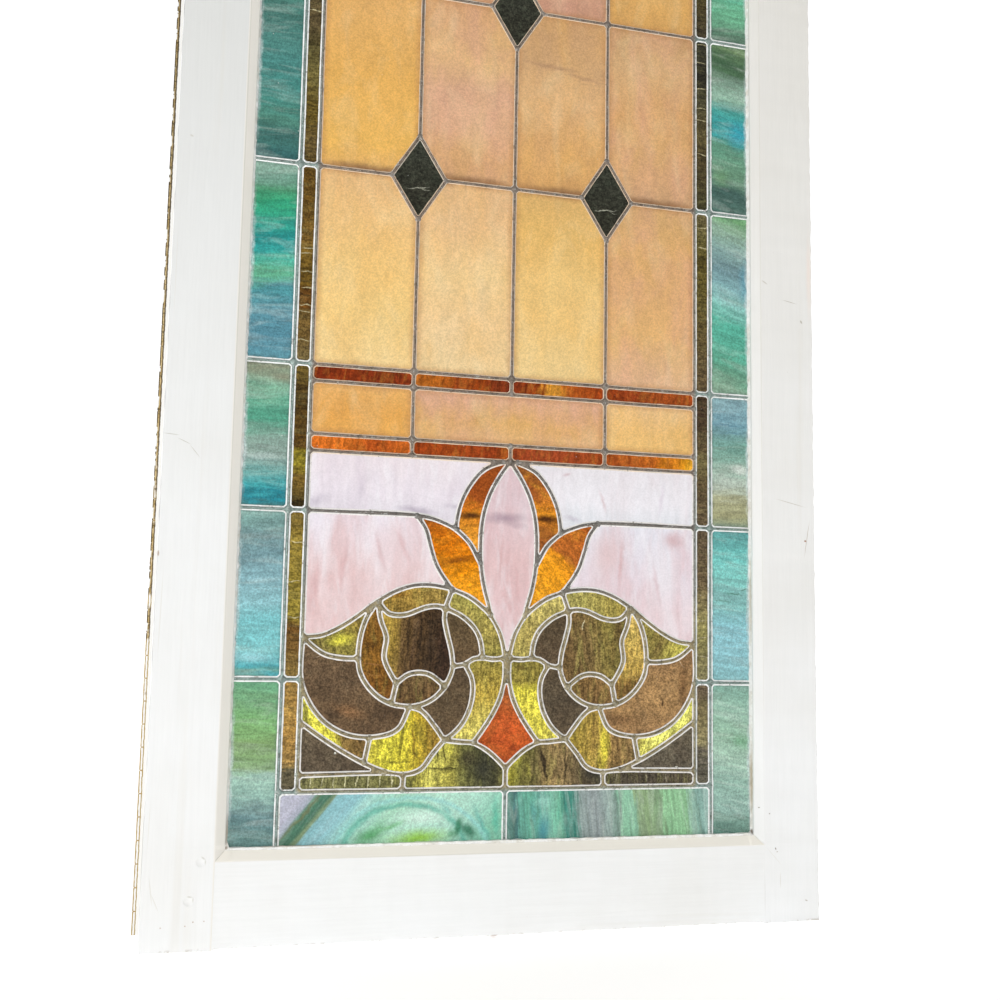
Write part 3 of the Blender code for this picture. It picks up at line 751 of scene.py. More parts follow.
panel_half = outer_edge[:, 0].max()
rings = [thinned(offset(edge_line, panel_half - half)) for half in (BED_OUTER, BED_INNER)]
sheet("front_putty_bed", rings, BED_START, holes=True)
pulled(BED_DEPTH)
facing_out()
pick("VERT", lambda corner: abs(corner.co.x) < BED_SPLIT * MM
     and BED_FOOT * MM < corner.co.z < BED_HEAD * MM
     and corner.co.y < (PANEL_Y - GLASS_HALF - 1) * MM)
moved(y=BED_SLOPE)
bed = done()
ragged = cloudy_noise("ragged_putty", 4.0, 2)
modified(bed, "DISPLACE", texture=ragged, strength=BED_UNEVEN * MM, mid_level=0.5)
smooth(bed, BED_CREASE)
measured(placed(bed, "putty", "front_putty"))

# %% The fillet at the back
FILLET_SLICE = 7.0
FILLET_UNEVEN = 0.9
FILLET_CREASE = 30

fillet = merged_copy("back_putty", "back_putty_fillet")
edit(fillet)
cut_across(0, np.arange(-262, 262, FILLET_SLICE))
cut_across(2, np.arange(92, 1380, FILLET_SLICE))
done()
modified(fillet, "DISPLACE", texture=waves, strength=FILLET_UNEVEN * MM, mid_level=0.9)
smooth(fillet, FILLET_CREASE)
measured(placed(fillet, "putty", "back_putty"))

# %% [markdown]
# ## The weatherstrip
#
# A strip of spring brass is folded lengthwise and fixed along the left edge, where it seals the gap to
# the window frame. It was painted with the sash, and the paint has flaked off its outer leg. The frame
# gives the folded section. A copy is cut across in short lengths so that it can bend a little, and its
# outer fold is nicked at every finger's breadth, as is done to let it spring evenly.

# %% The folded strip, nicked and bent unevenly
SNIP = 20.5
NICK_HALF = 0.5
NICK_DEPTH = 1.0
FOLD_CREEP = 0.25
STRIP_UNEVEN = 0.3

strip_low, strip_high = (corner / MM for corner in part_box("metal_weatherstrip"))
strip = merged_copy("metal_weatherstrip", "brass_weatherstrip")
edit(strip)
nicks = np.arange(strip_low.z + SNIP, strip_high.z - 1, SNIP)
cuts = [nicks + shift for shift in (-SNIP / 2, -NICK_HALF, 0.0, NICK_HALF)]
cut_across(2, sorted(np.concatenate(cuts)))
pick("VERT", lambda corner: corner.co.x / MM < strip_low.x + 0.1
     and abs((corner.co.z / MM - strip_low.z + SNIP / 2) % SNIP - SNIP / 2) < 0.1
     and strip_low.z + 1 < corner.co.z / MM < strip_high.z - 1)
moved(x=NICK_DEPTH)
pick("VERT", lambda corner: corner.co.x / MM > strip_high.x - 0.1)
moved(x=FOLD_CREEP)
done()
modified(strip, "DISPLACE", texture=waves, strength=STRIP_UNEVEN * MM, mid_level=1.0)
measured(placed(strip, "brass", "metal_weatherstrip"))

# %% [markdown]
# ## Materials
#
# Colours are written as sRGB and turned into the linear values that a shader works in. One helper adds
# a shader node with its settings and links. Object coordinates are the same as window coordinates here,
# because every piece sits at the origin, so a pattern can be set to the piece by plain distances. The
# other helpers are what finishes are made of: patches, stains, strokes and runs of colour.

# %% A colour, a node and a new material


def colour(code):
    """A written sRGB colour as linear values."""
    parts = [int(code[start:start + 2], 16) / 255 for start in (0, 2, 4)]
    linear = [part / 12.92 if part <= 0.04045 else ((part + 0.055) / 1.055) ** 2.4 for part in parts]
    return (*linear, 1.0)


def node(tree, kind, inputs, output=0, **settings):
    """Adds a node, fills or links its inputs by name or number, and gives one of its outputs."""
    new = tree.nodes.new("ShaderNode" + kind)
    for setting, value in settings.items():
        setattr(new, setting, value)
    for name, value in inputs.items():
        if isinstance(value, bpy.types.NodeSocket):
            tree.links.new(value, new.inputs[name])
        else:
            new.inputs[name].default_value = colour(value) if isinstance(value, str) else value
    return new.outputs[output]


COLOURS = {"data_type": "RGBA", "output": 2}


def material(name, **shader_values):
    """A new material with plain values on its shader, its node tree, and the window places in mm."""
    new = bpy.data.materials.new(name)
    new.use_nodes = True
    tree = new.node_tree
    for socket, value in shader_values.items():
        tree.nodes["Principled BSDF"].inputs[socket.replace("_", " ")].default_value = value
    place = node(tree, "TexCoord", {}, "Object")
    return new, tree, node(tree, "Mapping", {0: place, "Scale": (MM,) * 3}, vector_type="TEXTURE")


def finish(tree, base, height, depth, **links):
    """Links the colour, a relief of so many millimetres, and what else varies, to the shader."""
    shader = tree.nodes["Principled BSDF"]
    bump = node(tree, "Bump", {"Height": height, "Distance": depth * MM, "Strength": 1.0})
    for socket, value in {"Base_Color": base, "Normal": bump, **links}.items():
        tree.links.new(value, shader.inputs[socket.replace("_", " ")])


# %% Patches and stains
USUAL_NOISE = (0.36, 0.64)


def patches(tree, place, size, low, high, start=0.0, end=1.0, stretch=(1, 1, 1), detail=3.0, rough=0.55,
            warp=0.0):
    """An amount that changes in patches of about so many millimetres, drawn out by a stretch.

    The noise runs from 0 to 1, mostly between 0.3 and 0.7: where it is low the amount is the start,
    and where it is high the end.
    """
    spread = node(tree, "Mapping", {0: place, "Scale": tuple(1 / (size * long) for long in stretch)})
    cloudy = node(tree, "TexNoise", {"Vector": spread, "Scale": 1.0, "Detail": detail,
                                     "Roughness": rough, "Distortion": warp})
    return node(tree, "MapRange", {"Value": cloudy, 1: low, 2: high, 3: start, 4: end})


def broken(tree, base, place, size, share, **how):
    """The colour made up to so much darker and lighter in patches."""
    light = patches(tree, place, size, *USUAL_NOISE, 1 - share, 1 + share, **how)
    return node(tree, "VectorMath", {0: base, "Scale": light}, operation="SCALE")


def stained(tree, base, tone, place, size, low, high, most, **how):
    """The colour with patches of a second tone, at most so strong."""
    amount = patches(tree, place, size, low, high, 0.0, most, **how)
    return node(tree, "Mix", {0: amount, 6: base, 7: tone}, **COLOURS)


# %% Strokes and runs of colour
NO_LIMIT = 1e6


def stroke(tree, base, place, x, z, long, wide, lean, tone, amount=1.0, soft=0.5, ring=0.0, deep=NO_LIMIT,
           y=0.0):
    """Lays a tapering stroke of a tone over a colour, or with a ring, an arc; its sizes are half sizes."""
    inside = node(tree, "Mapping", {0: place, "Location": (x, y, z), "Scale": (long, deep, wide),
                                    "Rotation": (0, math.radians(lean), 0)}, vector_type="TEXTURE")
    away = node(tree, "VectorMath", {0: inside}, "Value", operation="LENGTH")
    if ring:
        away = node(tree, "MapRange", {0: away, 1: 1 - ring, 2: 1 + ring, 3: -1.0, 4: 1.0}, clamp=False)
        away = node(tree, "Math", {0: away}, operation="ABSOLUTE")
    reach = node(tree, "MapRange", {0: away, 1: 1.0, 2: 1.0 - soft, 3: 0.0, 4: amount},
                 interpolation_type="SMOOTHSTEP")
    return node(tree, "Mix", {0: reach, 6: base, 7: tone}, **COLOURS)


def gradient(tree, value, bands):
    """A run of colours at places along a value, written as 'place colour, place colour'."""
    stops = [(float(place), tone) for place, tone in (stop.split() for stop in bands.split(","))]
    low, high = stops[0][0], max(stops[-1][0], stops[0][0] + 1)
    span = node(tree, "MapRange", {0: value, 1: low, 2: high})
    ramp = node(tree, "ValToRGB", {"Fac": span})
    elements = ramp.node.color_ramp.elements
    while len(elements) < len(stops):
        elements.new(0.5)
    for element, (place, tone) in zip(elements, stops):
        element.position = (place - low) / (high - low)
    for element, (place, tone) in zip(elements, stops):
        element.color = colour(tone)
    return ramp


# %% [markdown]
# ### Opalescent glass
#
# The glass is rolled sheet: molten glasses of two or more colours are ladled onto a table and rolled
# before they have mixed, so colours run in drawn-out streaks and wisps. A piece is cut where the sheet
# suits it, so each has its own run of colours. The material is one shader with a run of tones that a
# slow and a quick drawn-out noise push about, fine streaks over it, milky wisps, a grain, a few seeds
# (trapped bubbles) and the shallow waves of a rolled surface. The base colour gives each piece its
# tone, the low roughness and an index of 1.52 give the polish of glass, and the dense opal needs no
# transmission, because what shows is the light scattered back from inside.

# %% Unsteady marks and darker edges
WANDER = 3.0
WANDER_LENGTH = 9.0
LEAD_LAP = 1.5


def wandering(tree, window):
    """The places in the window pushed about a little, so that marks laid on them have uneven edges."""
    sway = node(tree, "TexNoise", {"Vector": window, "Scale": 1 / WANDER_LENGTH, "Detail": 3.0}, "Color")
    sway = node(tree, "VectorMath", {0: sway, "Scale": 2 * WANDER}, operation="SCALE")
    pushed = node(tree, "VectorMath", {0: window, 1: sway}, operation="ADD")
    return node(tree, "VectorMath", {0: pushed, 1: (WANDER,) * 3}, operation="SUBTRACT")


def edge_darkened(tree, base, place, low, high, edge_tone, most, reach):
    """The colour darkened towards a tone along the edges of a piece, at most so strong, and fading inwards.
    """
    half = (high - low) / 2
    out = node(tree, "Mapping", {0: place, "Location": (low + high) / 2}, vector_type="TEXTURE")
    out = node(tree, "VectorMath", {0: out}, operation="ABSOLUTE")
    near = [node(tree, "MapRange", {0: node(tree, "SeparateXYZ", {0: out}, axis), 1: size - reach,
                                    2: size - LEAD_LAP, 3: 0.0, 4: most})
            for axis, size in (("X", half.x), ("Z", half.z))]
    amount = node(tree, "Math", {0: near[0], 1: near[1]}, operation="MAXIMUM")
    return node(tree, "Mix", {0: amount, 6: base, 7: edge_tone}, **COLOURS)


# %% Streaky rolled glass
GLASS_INDEX = 1.52
GLASS_GLOSS = 0.22
SEED_SPACING = 16.0
SEED_EDGE, SEED_CORE = 0.045, 0.02
SEED_TONE = "f2f5ee"
GRAIN_SIZE = 1.7
ROLLER_WAVE = 9.0
WAVE_DEPTH = 0.25


def opal(piece, kind, bands, lean=0.0, strokes=(), stretch=8.0, upright=False, drift=7.0, reach=18.0,
         push=3.0, streak=0.2, streak_size=3.0, wisp="e6efe6", wisps=0.2, cloud="ffffff", clouds=0.0,
         grain=0.16, mottle=0.06, seeds=0.5, shine=0.5, edge_tone="ffffff", edge_darkness=0.0, edge_reach=6.0):
    """Rolled glass for one piece: a run of tones along its height, or along its width when it leans."""
    new, tree, window = material(f"{kind} {piece.name}".replace("_", " "), Roughness=GLASS_GLOSS,
                                 IOR=GLASS_INDEX, Specular_IOR_Level=shine)
    low, high = Vector(piece.bound_box[0]) / MM, Vector(piece.bound_box[6]) / MM
    middle = (low + high) / 2
    turned = math.radians(lean)
    across = abs(lean) > 45
    zero, measure = (middle.x, math.sin(turned)) if across else (middle.z, math.cos(turned))
    here = node(tree, "Mapping", {0: window, "Location": middle, "Rotation": (0, turned, 0)},
                vector_type="TEXTURE")
    height = node(tree, "SeparateXYZ", {0: here}, "Z")
    sheet_place = node(tree, "VectorMath", {0: here, 1: tuple(middle)}, operation="ADD")
    drawn = (1, 1, stretch) if upright else (stretch, 1, 1)
    slow = patches(tree, sheet_place, reach, 0.25, 0.75, -drift, drift, drawn, rough=0.6, warp=0.4)
    quick = patches(tree, sheet_place, streak_size, 0.25, 0.75, zero - push, zero + push, drawn)
    along = node(tree, "Math", {0: height, 1: 1 / measure, 2: slow}, operation="MULTIPLY_ADD")
    along = node(tree, "Math", {0: along, 1: quick}, operation="ADD")
    base = gradient(tree, along, bands)
    base = stained(tree, base, cloud, sheet_place, 1.6 * reach, 0.42, 0.68, clouds, stretch=drawn, warp=0.5)
    base = broken(tree, base, sheet_place, streak_size, streak, stretch=drawn, detail=4, warp=0.5)
    base = stained(tree, base, wisp, sheet_place, 2.2 * streak_size, 0.5, 0.78, wisps, stretch=drawn,
                   detail=3, warp=0.8)
    unsteady = wandering(tree, window)
    for mark in strokes:
        base = stroke(tree, base, unsteady, *mark)
    if edge_darkness:
        base = edge_darkened(tree, base, unsteady, low, high, edge_tone, edge_darkness, edge_reach)
    base = broken(tree, base, window, GRAIN_SIZE, grain, detail=2, rough=0.7)
    base = broken(tree, base, window, 3 * GRAIN_SIZE, mottle, detail=2, rough=0.7)
    seed = node(tree, "TexVoronoi", {"Vector": window, "Scale": 1 / SEED_SPACING}, "Distance")
    seed = node(tree, "MapRange", {0: seed, 1: SEED_EDGE, 2: SEED_CORE, 3: 0.0, 4: seeds})
    base = node(tree, "Mix", {0: seed, 6: base, 7: SEED_TONE}, **COLOURS)
    finish(tree, base, patches(tree, sheet_place, ROLLER_WAVE, 0.0, 1.0, stretch=drawn, detail=2), WAVE_DEPTH)
    coated([piece], new)


def glass(name):
    """The piece of glass with this name, from the frame or cut above."""
    return nodes[name] if name in nodes else bpy.data.objects[name]


# %% [markdown]
# The green border runs through slate, teal, turquoise, mint and olive, with one run of tones for each
# piece: from the bottom up at the sides, and from left to right at the foot and the head. Clouds and
# wisps that stand out are strokes of their own, given as (x, z, half its length, half its width, lean,
# tone, strength, softness, and for an arc the width of its line). Each piece is darker along its cames.

# %% The runs of the green border
GREEN = {
    "left_1": "84 5f857c, 112 5f8386, 122 6f8f8e, 136 8fb5a8, 152 9cc0b0, 160 7fa072, 185 7a9c62, "
              "205 7ab070, 220 70a074, 234 6aa57c",
    "left_2": "245 5f9a8f, 252 4fa4ac, 270 7cc2c4, 290 78bcc0, 312 8cbec4, 338 86b0b8, 356 6f9298, "
              "376 6f8f90, 398 7fa8a0",
    "left_3": "405 4a7a78, 414 1f7f8c, 424 3fa0a4, 438 6fa5a0, 455 8a9f96, 474 84a496, 490 4f9a80, "
              "506 5fa58a, 522 86a890, 540 8a8f78",
    "left_4": "548 5a8f9c, 570 4f8494, 596 5a93a0, 616 4a8f96, 632 5fa886, 645 4fae96, 656 2f9a94, "
              "668 1f8a86, 682 2f9a84, 700 2f9a70, 716 4a8f6a, 730 6f9a88, 743 8aa898",
    "left_5": "748 2f6060, 766 3a6c66, 790 4a7f70, 815 3f857c, 845 44807a, 870 4a8078, 895 3f6f66, "
              "915 4a7f74, 938 5f8f80",
    "left_6": "945 5f8f7f, 975 7fa88f, 1010 4a8793, 1035 4f8f93, 1060 5fae94, 1095 7f9f8c, 1130 4a7f74",
    "left_7": "1140 4a7f74, 1180 7cb8b0, 1225 86b4bf, 1260 5f9a74, 1300 7fae6c, 1340 8fb0a5, 1388 5f8f7f",
    "right_1": "84 5f8a7c, 100 6f9486, 115 8fb2a6, 140 93b8a8, 165 9fc0ac, 190 93b8a0, 215 8fb5a2, "
               "236 7fa898",
    "right_2": "245 86b8bc, 275 8fc4cc, 302 86bcc4, 322 7fb8b4, 336 84b6b2, 352 7fc4bc, 374 6fc0ba, "
               "396 5f9f9c",
    "right_3": "405 86947c, 420 a09f78, 436 a9aa88, 452 aebcae, 470 8fb0a0, 488 74a092, 504 70989a, "
               "518 6f98a4, 534 86a8ae",
    "right_4": "550 86a890, 572 5f9a80, 600 5aac94, 625 55aa94, 646 86bfb5, 662 7fa8ac, 682 6f8f94, "
               "704 7f9f9a, 722 8fae98, 738 6fa070",
    "right_5": "750 4a6a60, 772 3f5f58, 788 6a9478, 806 6a9a80, 822 5a9078, 838 3a9c9c, 862 459a92, "
               "878 8fb5a0, 894 6f8a78, 908 47684a, 924 4a6a4c, 938 6f8a60",
    "right_6": "945 5a7a66, 980 6fb58f, 1010 4fa88f, 1040 6f939f, 1080 86a090, 1130 4f7560",
    "right_7": "1140 5f9a98, 1190 6fbfae, 1235 93b8a4, 1270 9a9c72, 1310 7fc4c0, 1350 86b5b8, 1388 6f9a90",
    "bottom_left": "-217 b8b8c8, -207 a8aebc, -201 4f7f64, -193 3f7058, -188 7a9068, -182 84b6bc, "
                   "-164 8fc2c8, -154 9accc4, -120 a2d4b8, -85 b4deca, -50 acd9c6, -25 92cab4, -8 80c0a4",
    "bottom_right": "3 5f8a80, 10 4f7c72, 14 3f7070, 19 5fa08e, 28 62a890, 38 62a496, 50 7cbca4, "
                    "58 6fb598, 64 2f7f70, 71 3f8a7a, 77 8a9a96, 96 8f9a9a, 112 94aaa2, 118 6f9080, "
                    "122 88bc9c, 134 8cbea0, 139 86a078, 152 8aa678, 166 7f9f78, 171 8cbe90, 192 8cbe90, "
                    "199 96baa8, 205 6c9488, 213 90b4aa",
    "top_left": "-217 5f8f7f, -170 86b4bf, -120 7fb59a, -70 7cc8d0, -10 8fb0a5",
    "top_right": "10 6f9a90, 60 7fc4c0, 110 93b8a4, 160 6fb58f, 217 5f9a98",
}
print(len(GREEN), "runs of green")

# %% Its clouds and wisps
GREEN_LEAN = {"left_1": 3, "left_4": -4, "right_1": 10, "right_4": 18, "right_5": 9, "right_2": 6,
              "bottom_left": 130, "bottom_right": 84, "top_left": 70, "top_right": 100}
GREEN_STROKES = {
    "left_2": [(-248, 262, 30, 7, 4, "a9d8e0", 0.5, 1.0)],
    "left_3": [(-228, 530, 22, 8, 10, "8a8068", 0.6, 1.0), (-248, 452, 26, 6, -3, "b4c8c4", 0.5, 1.0)],
    "right_1": [(256, 181, 20, 10, 14, "6fa87f", 0.7, 1.0), (244, 207, 26, 6, 16, "b4d0c0", 0.5, 1.0)],
    "right_2": [(246, 334, 16, 1.6, 4, "4a7a68", 0.8, 1.0), (258, 339, 10, 1.4, -6, "4a7060", 0.8, 1.0),
                (236, 326, 14, 1.2, 8, "5a8a78", 0.7, 1.0)],
    "right_3": [(256, 466, 18, 7, 8, "dde2da", 0.7, 1.0), (240, 513, 28, 1.8, 3, "4f7a8c", 0.7, 1.0),
                (248, 505, 22, 1.4, -3, "5f8a98", 0.6, 1.0)],
    "right_4": [(262, 672, 10, 34, 0, "5a98ac", 0.6, 1.0), (240, 660, 26, 5, 24, "a9d0cc", 0.5, 1.0)],
    "right_5": [(256, 838, 22, 24, 0, "2f9aae", 0.8, 1.0), (234, 786, 16, 14, 20, "6f9a68", 0.5, 1.0),
                (240, 916, 26, 6, 16, "35583c", 0.7, 1.0)],
    "bottom_left": [(-196, 116, 60, 3, -48, "6f7048", 0.7, 1.0),
                    (-98, 78, 60, 46, 0, "5fb09c", 0.8, 1.0, 0.1),
                    (-92, 74, 76, 56, 0, "8fd0cc", 0.6, 1.0, 0.07), (-84, 112, 36, 10, 0, "d8f2e4", 0.7, 1.0),
                    (-132, 96, 26, 12, -24, "4a9a5c", 0.9, 1.0), (-86, 92, 44, 12, -4, "94c848", 1.0, 1.0),
                    (-112, 104, 20, 4, -20, "6fb878", 0.7, 1.0), (-46, 102, 5, 13, 8, "2f7a58", 0.9, 0.8),
                    (-36, 98, 14, 7, 34, "2f7458", 0.95, 0.8), (-52, 96, 8, 6, -30, "3f8a5c", 0.7, 1.0),
                    (-58, 118, 12, 4, 40, "5fb0a8", 0.6, 1.0),
                    (-22, 104, 30, 4, 62, "4fa8a0", 0.6, 1.0), (-9, 110, 30, 5, 86, "4fb59a", 0.7, 1.0)],
    "bottom_right": [(40, 96, 9, 24, 8, "3f8c98", 0.8, 1.0), (30, 112, 5, 20, -6, "4f9494", 0.6, 1.0),
                     (40, 124, 12, 8, 0, "9fd8c8", 0.6, 1.0)],
}
print(sum(map(len, GREEN_STROKES.values())), "clouds and wisps")

# %% Finish the green border
STREAKY = dict(drift=8.0, push=4.0, streak=0.15, streak_size=4.6, stretch=6.0, wisps=0.24, grain=0.22,
               edge_tone="3a5a54", edge_darkness=0.4, edge_reach=4.0)
GREEN_LOOKS = {"bottom_left": dict(drift=5.0, push=1.5, streak=0.07, wisps=0.12, wisp="eefaf6"),
               "bottom_right": dict(drift=5.0, push=4.0, streak=0.2, streak_size=3.0, wisps=0.25)}
PUTTY_LINE = 264
HAZE_HALF = 3.4
for name, bands in GREEN.items():
    piece = glass("green_border_" + name)
    low, high = (corner.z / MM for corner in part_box(piece.name))
    side = PUTTY_LINE if "right" in name else -PUTTY_LINE
    haze = [] if "bottom" in name or "top" in name else [
        (side, (low + high) / 2, HAZE_HALF, 0.6 * (high - low), 0, "cbd9d9", 0.65, 1.0)]
    opal(piece, "green opalescent glass", bands, GREEN_LEAN.get(name, 0),
         [*GREEN_STROKES.get(name, ()), *haze], shine=0.35, **GREEN_LOOKS.get(name, STREAKY))
    print(piece.name, f"{low:.0f} to {high:.0f} mm up")

# %% [markdown]
# The narrow strips inside the border are dark brown and olive, crossed here and there by fine pale
# creases where the sheet cooled against the roller. The strips under the head and the diamonds of the
# field are cut from the same dark glass, and two of the diamonds have such creases too.

# %% The runs of the inner strips
BROWN_SIDES = {
    "left_1": "84 5c543f, 158 5c543f, 164 a3834a, 190 98743a, 211 b48f4a, 228 98763c",
    "left_2": "245 88703c, 262 70562a, 288 6c4c22, 296 8a7a30, 372 8a7632, 398 6c5826",
    "left_3": "405 2a2212, 411 33280f, 418 5f4d22, 434 7a6028, 444 8a7d28, 458 8a7d28, 464 583f16, "
              "515 4a3818, 535 6a5728",
    "left_4": "548 766640, 575 6c542a, 598 68522a, 602 5c3c16, 618 5c3c16, 624 5f4818, 655 6c5420, "
              "668 765a28, 700 5f461a",
    "left_5": "748 4f4020, 770 665430, 790 554418, 812 665627, 836 706538, 866 4c4426, 890 54482f",
    "left_6": "945 4f4220, 1000 5f4a1c, 1060 6a6030, 1130 4f3f1c",
    "left_7": "1140 4a4538, 1200 6a4a22, 1260 7a6420, 1330 4f4220",
    "right_1": "84 5c574a, 158 5c574a, 173 665e50, 184 8c825c, 208 7c704c, 232 665844",
    "right_2": "245 8a825c, 270 7c744c, 292 9a925a, 318 877c54, 345 6c5c42, 398 5a4c3a",
    "right_3": "405 62533e, 450 5f5036, 470 6e6440, 492 5c4c34, 515 483828",
    "right_4": "548 5c4c34, 600 5c4e30, 660 5f5428, 690 52471f, 712 625a32, 740 62583a",
    "right_5": "748 3c3a24, 790 463c26, 830 544a2e, 870 46422f, 892 2f2c22, 914 2f2c22, 918 3a382b",
    "right_6": "945 3f382a, 1010 4f4220, 1070 6a6030, 1130 3f382a",
    "right_7": "1140 4f4028, 1210 6a6038, 1290 453a2a, 1330 4a4438",
}
print(len(BROWN_SIDES), "runs of brown")

# %% Finish the dark pieces
CREASES = {
    "left_4": (568, 596, 603, 620, 637, 655, 660), "right_2": (268, 288, 305),
    "right_5": (810, 848, 862, 885, 915, 935), "left_2": (300, 333, 371), "right_4": (705, 728),
    "left_5": (905,), "left_6": (1010, 1044), "right_6": (990, 1082),
}
DARK = dict(wisp="8f8a5a", wisps=0.25, grain=0.42, mottle=0.18, streak=0.35, seeds=0.25, shine=0.12,
            drift=4.0, stretch=5.0, streak_size=2.6)
TOP_STRIPS = ("-200 4f4220, -100 6a5018", "-100 5f4a1c, 0 4a4020", "0 6a5a24, 100 4f4220",
              "100 4a4538, 200 5f4a1c")
CREASED_DIAMONDS = 745
for name, bands in BROWN_SIDES.items():
    side = -STRIP_MIDDLE if "left" in name else STRIP_MIDDLE
    lines = [(side + draw.uniform(-2, 2), z, 9, 0.7, draw.uniform(-6, 6), "b8ae86", 0.8)
             for z in CREASES.get(name, ())]
    opal(glass("inner_strip_" + name), "brown streaky glass", bands, 0, lines, **DARK)
for number, bands in enumerate(TOP_STRIPS, 1):
    opal(glass(f"top_strip_{number}"), "brown streaky glass", bands, 90, **DARK)
for number, (x, z) in enumerate(DIAMONDS, 1):
    lines = [(x - 1, z - 11, 14, 0.7, -7, "9a9a8a", 0.9), (x + 6, z - 12, 7, 0.6, 12, "8a8a7a", 0.8)]
    opal(glass(f"dark_diamond_{number}"), "dark granite glass", f"{z - 30} 302f26, {z + 30} 35372e", 0,
         lines if z == CREASED_DIAMONDS else (), **{**DARK, "wisp": "56604e", "stretch": 1.5})
print(len(BROWN_SIDES) + len(TOP_STRIPS) + len(DIAMONDS), "dark pieces")

# %% [markdown]
# The red-brown strips of the two bands carry golden swirls, and they run lengthwise.

# %% The red-brown bands
RED_BANDS = {
    "upper_band_1": "-200 762a10, -160 853412, -130 722810, -105 8f3c18",
    "upper_band_2": "-98 a85c1e, -78 ae601c, -60 954217, -30 8c3c0f, 0 662718",
    "upper_band_3": "2 7a2f14, 28 8f3a12, 36 c4862e, 50 c98a30, 58 a8521a, 98 943e14",
    "upper_band_4": "104 8c3a14, 140 8a3a18, 170 9a4a1d, 200 903f18",
    "lower_band_1": "-200 cc6820, -170 d47024, -140 a64a18, -110 be5f20",
    "lower_band_2": "-98 8f3a12, -60 9c4517, -20 8f3a16, -2 a3501c",
    "lower_band_3": "2 98421f, 40 964222, 98 a0481e",
    "lower_band_4": "104 9c4a1c, 140 aa561f, 160 b8641c, 180 c97c1c, 192 e09a20, 200 d9a030",
}
for name, bands in RED_BANDS.items():
    opal(glass(name), "red-brown streaky glass", bands, 97, stretch=3.0, streak=0.3, streak_size=3.5,
         wisp="d08a3a", wisps=0.4, grain=0.26, mottle=0.12, seeds=0.3, shine=0.1, drift=9.0)
print(len(RED_BANDS), "red-brown strips")

# %% [markdown]
# The field is amber opal, from light yellow in the lowest row to peach, golden and pinkish above. It is
# softly clouded, and each pane was cut from another part of the sheets. It is a little darker along
# every came, and a band of smoke darkens it most along the one between the first and the second row.

# %% The runs of the amber field
AMBER = {
    "pane_row1_1": "548 eed092, 600 eecb84, 650 ebc47e, 700 e9bf80, 733 dfb47c",
    "pane_row1_2": "548 e9ce9c, 600 eac996, 650 eac990, 700 e4bc8a, 733 deb584",
    "pane_row1_3": "548 e7c98c, 600 e8c27c, 650 e9c47e, 700 e1b76c, 733 d6ad6a",
    "pane_row1_4": "548 dcb38a, 600 dfb072, 650 daaa72, 700 d9aa6c, 733 d0a56e",
    "pane_row2_1": "750 ddac62, 775 e6b45c, 800 e5b35e, 845 dfab59, 900 deac65, 938 d9a868",
    "pane_row2_2": "750 cc9e6c, 775 d5a572, 800 d9ab84, 845 d5a884, 880 dcb27c, 938 cfa06c",
    "pane_row2_3": "750 ca995f, 775 d6a568, 800 d4a46c, 850 dbaf7c, 885 cba274, 938 c69a6c",
    "pane_row2_4": "750 c69c72, 775 d3a474, 800 d6a870, 850 d4a36c, 900 d6ad7c, 938 c49a6a",
    "pane_row3_1": "945 d9a45c, 1000 dfae62, 1060 dba864, 1130 d0a068",
    "pane_row3_2": "945 c99a74, 1000 d4a380, 1060 d9a98a, 1130 c99a70",
    "pane_row3_3": "945 c08f74, 1000 cf9f80, 1060 d4a57c, 1130 c79868",
    "pane_row3_4": "945 d09f5c, 1000 d9a862, 1060 d6a870, 1130 c99c6c",
    "pane_row4_1": "1140 dcae66, 1200 e5b868, 1260 e0b060, 1312 d6a660",
    "pane_row4_2": "1140 d4a674, 1200 dcb07c, 1260 e0b680, 1312 d0a26c",
    "pane_row4_3": "1140 d0a06a, 1200 d9a86c, 1260 dcb070, 1312 cfa06a",
    "pane_row4_4": "1140 cc9e70, 1200 d6a878, 1260 d9ac74, 1312 cc9c68",
    "band_left": "478 e2a856, 500 dfa250, 526 e0aa62",
    "band_middle": "478 dcb078, 500 d9a968, 526 d9a988",
    "band_right": "478 ecc078, 500 e9bc76, 526 e9c088",
}
PINKER = {"pane_row1_4", "pane_row2_2", "pane_row2_4", "pane_row3_2", "pane_row3_3", "band_middle"}
print(len(AMBER), "runs of amber,", len(PINKER), "of them pinker")

# %% Finish the amber field
SMOKE = "5a4636"
for name, bands in AMBER.items():
    low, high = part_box("amber_" + name)
    x = (low.x + high.x) / 2 / MM
    smoky = []
    if "row2" in name:
        smoky = [(x, 745.5, 75, 11, 0, SMOKE, 0.95, 1.0)]
    elif "row1" in name:
        smoky = [(x, 745, 75, 5, 0, SMOKE, 0.5, 1.0), (x, 544, 75, 4, 0, SMOKE, 0.35, 1.0)]
    if name == "pane_row2_3":
        smoky += [(40, 884, 46, 4, 3, "a88262", 0.55, 0.9), (75, 876, 30, 3, 8, "a88262", 0.5, 0.9)]
    opal(glass("amber_" + name), "amber opalescent glass", bands, 0, smoky, upright=True, stretch=2.2,
         drift=12.0, reach=22.0, push=4.0, streak=0.05, streak_size=14.0, wisp="f3e2b4", wisps=0.25,
         cloud="d9a48c" if name in PINKER else "e5b05c", clouds=0.45 if name in PINKER else 0.3,
         grain=0.11, mottle=0.03, seeds=0.2, shine=0.4, edge_tone="b07c4c", edge_darkness=0.45, edge_reach=7.0)
    print("amber_" + name, len(smoky), "smoky strokes")

# %% [markdown]
# Behind the ornament the glass is nearly white, with upright wisps of rose and lilac.

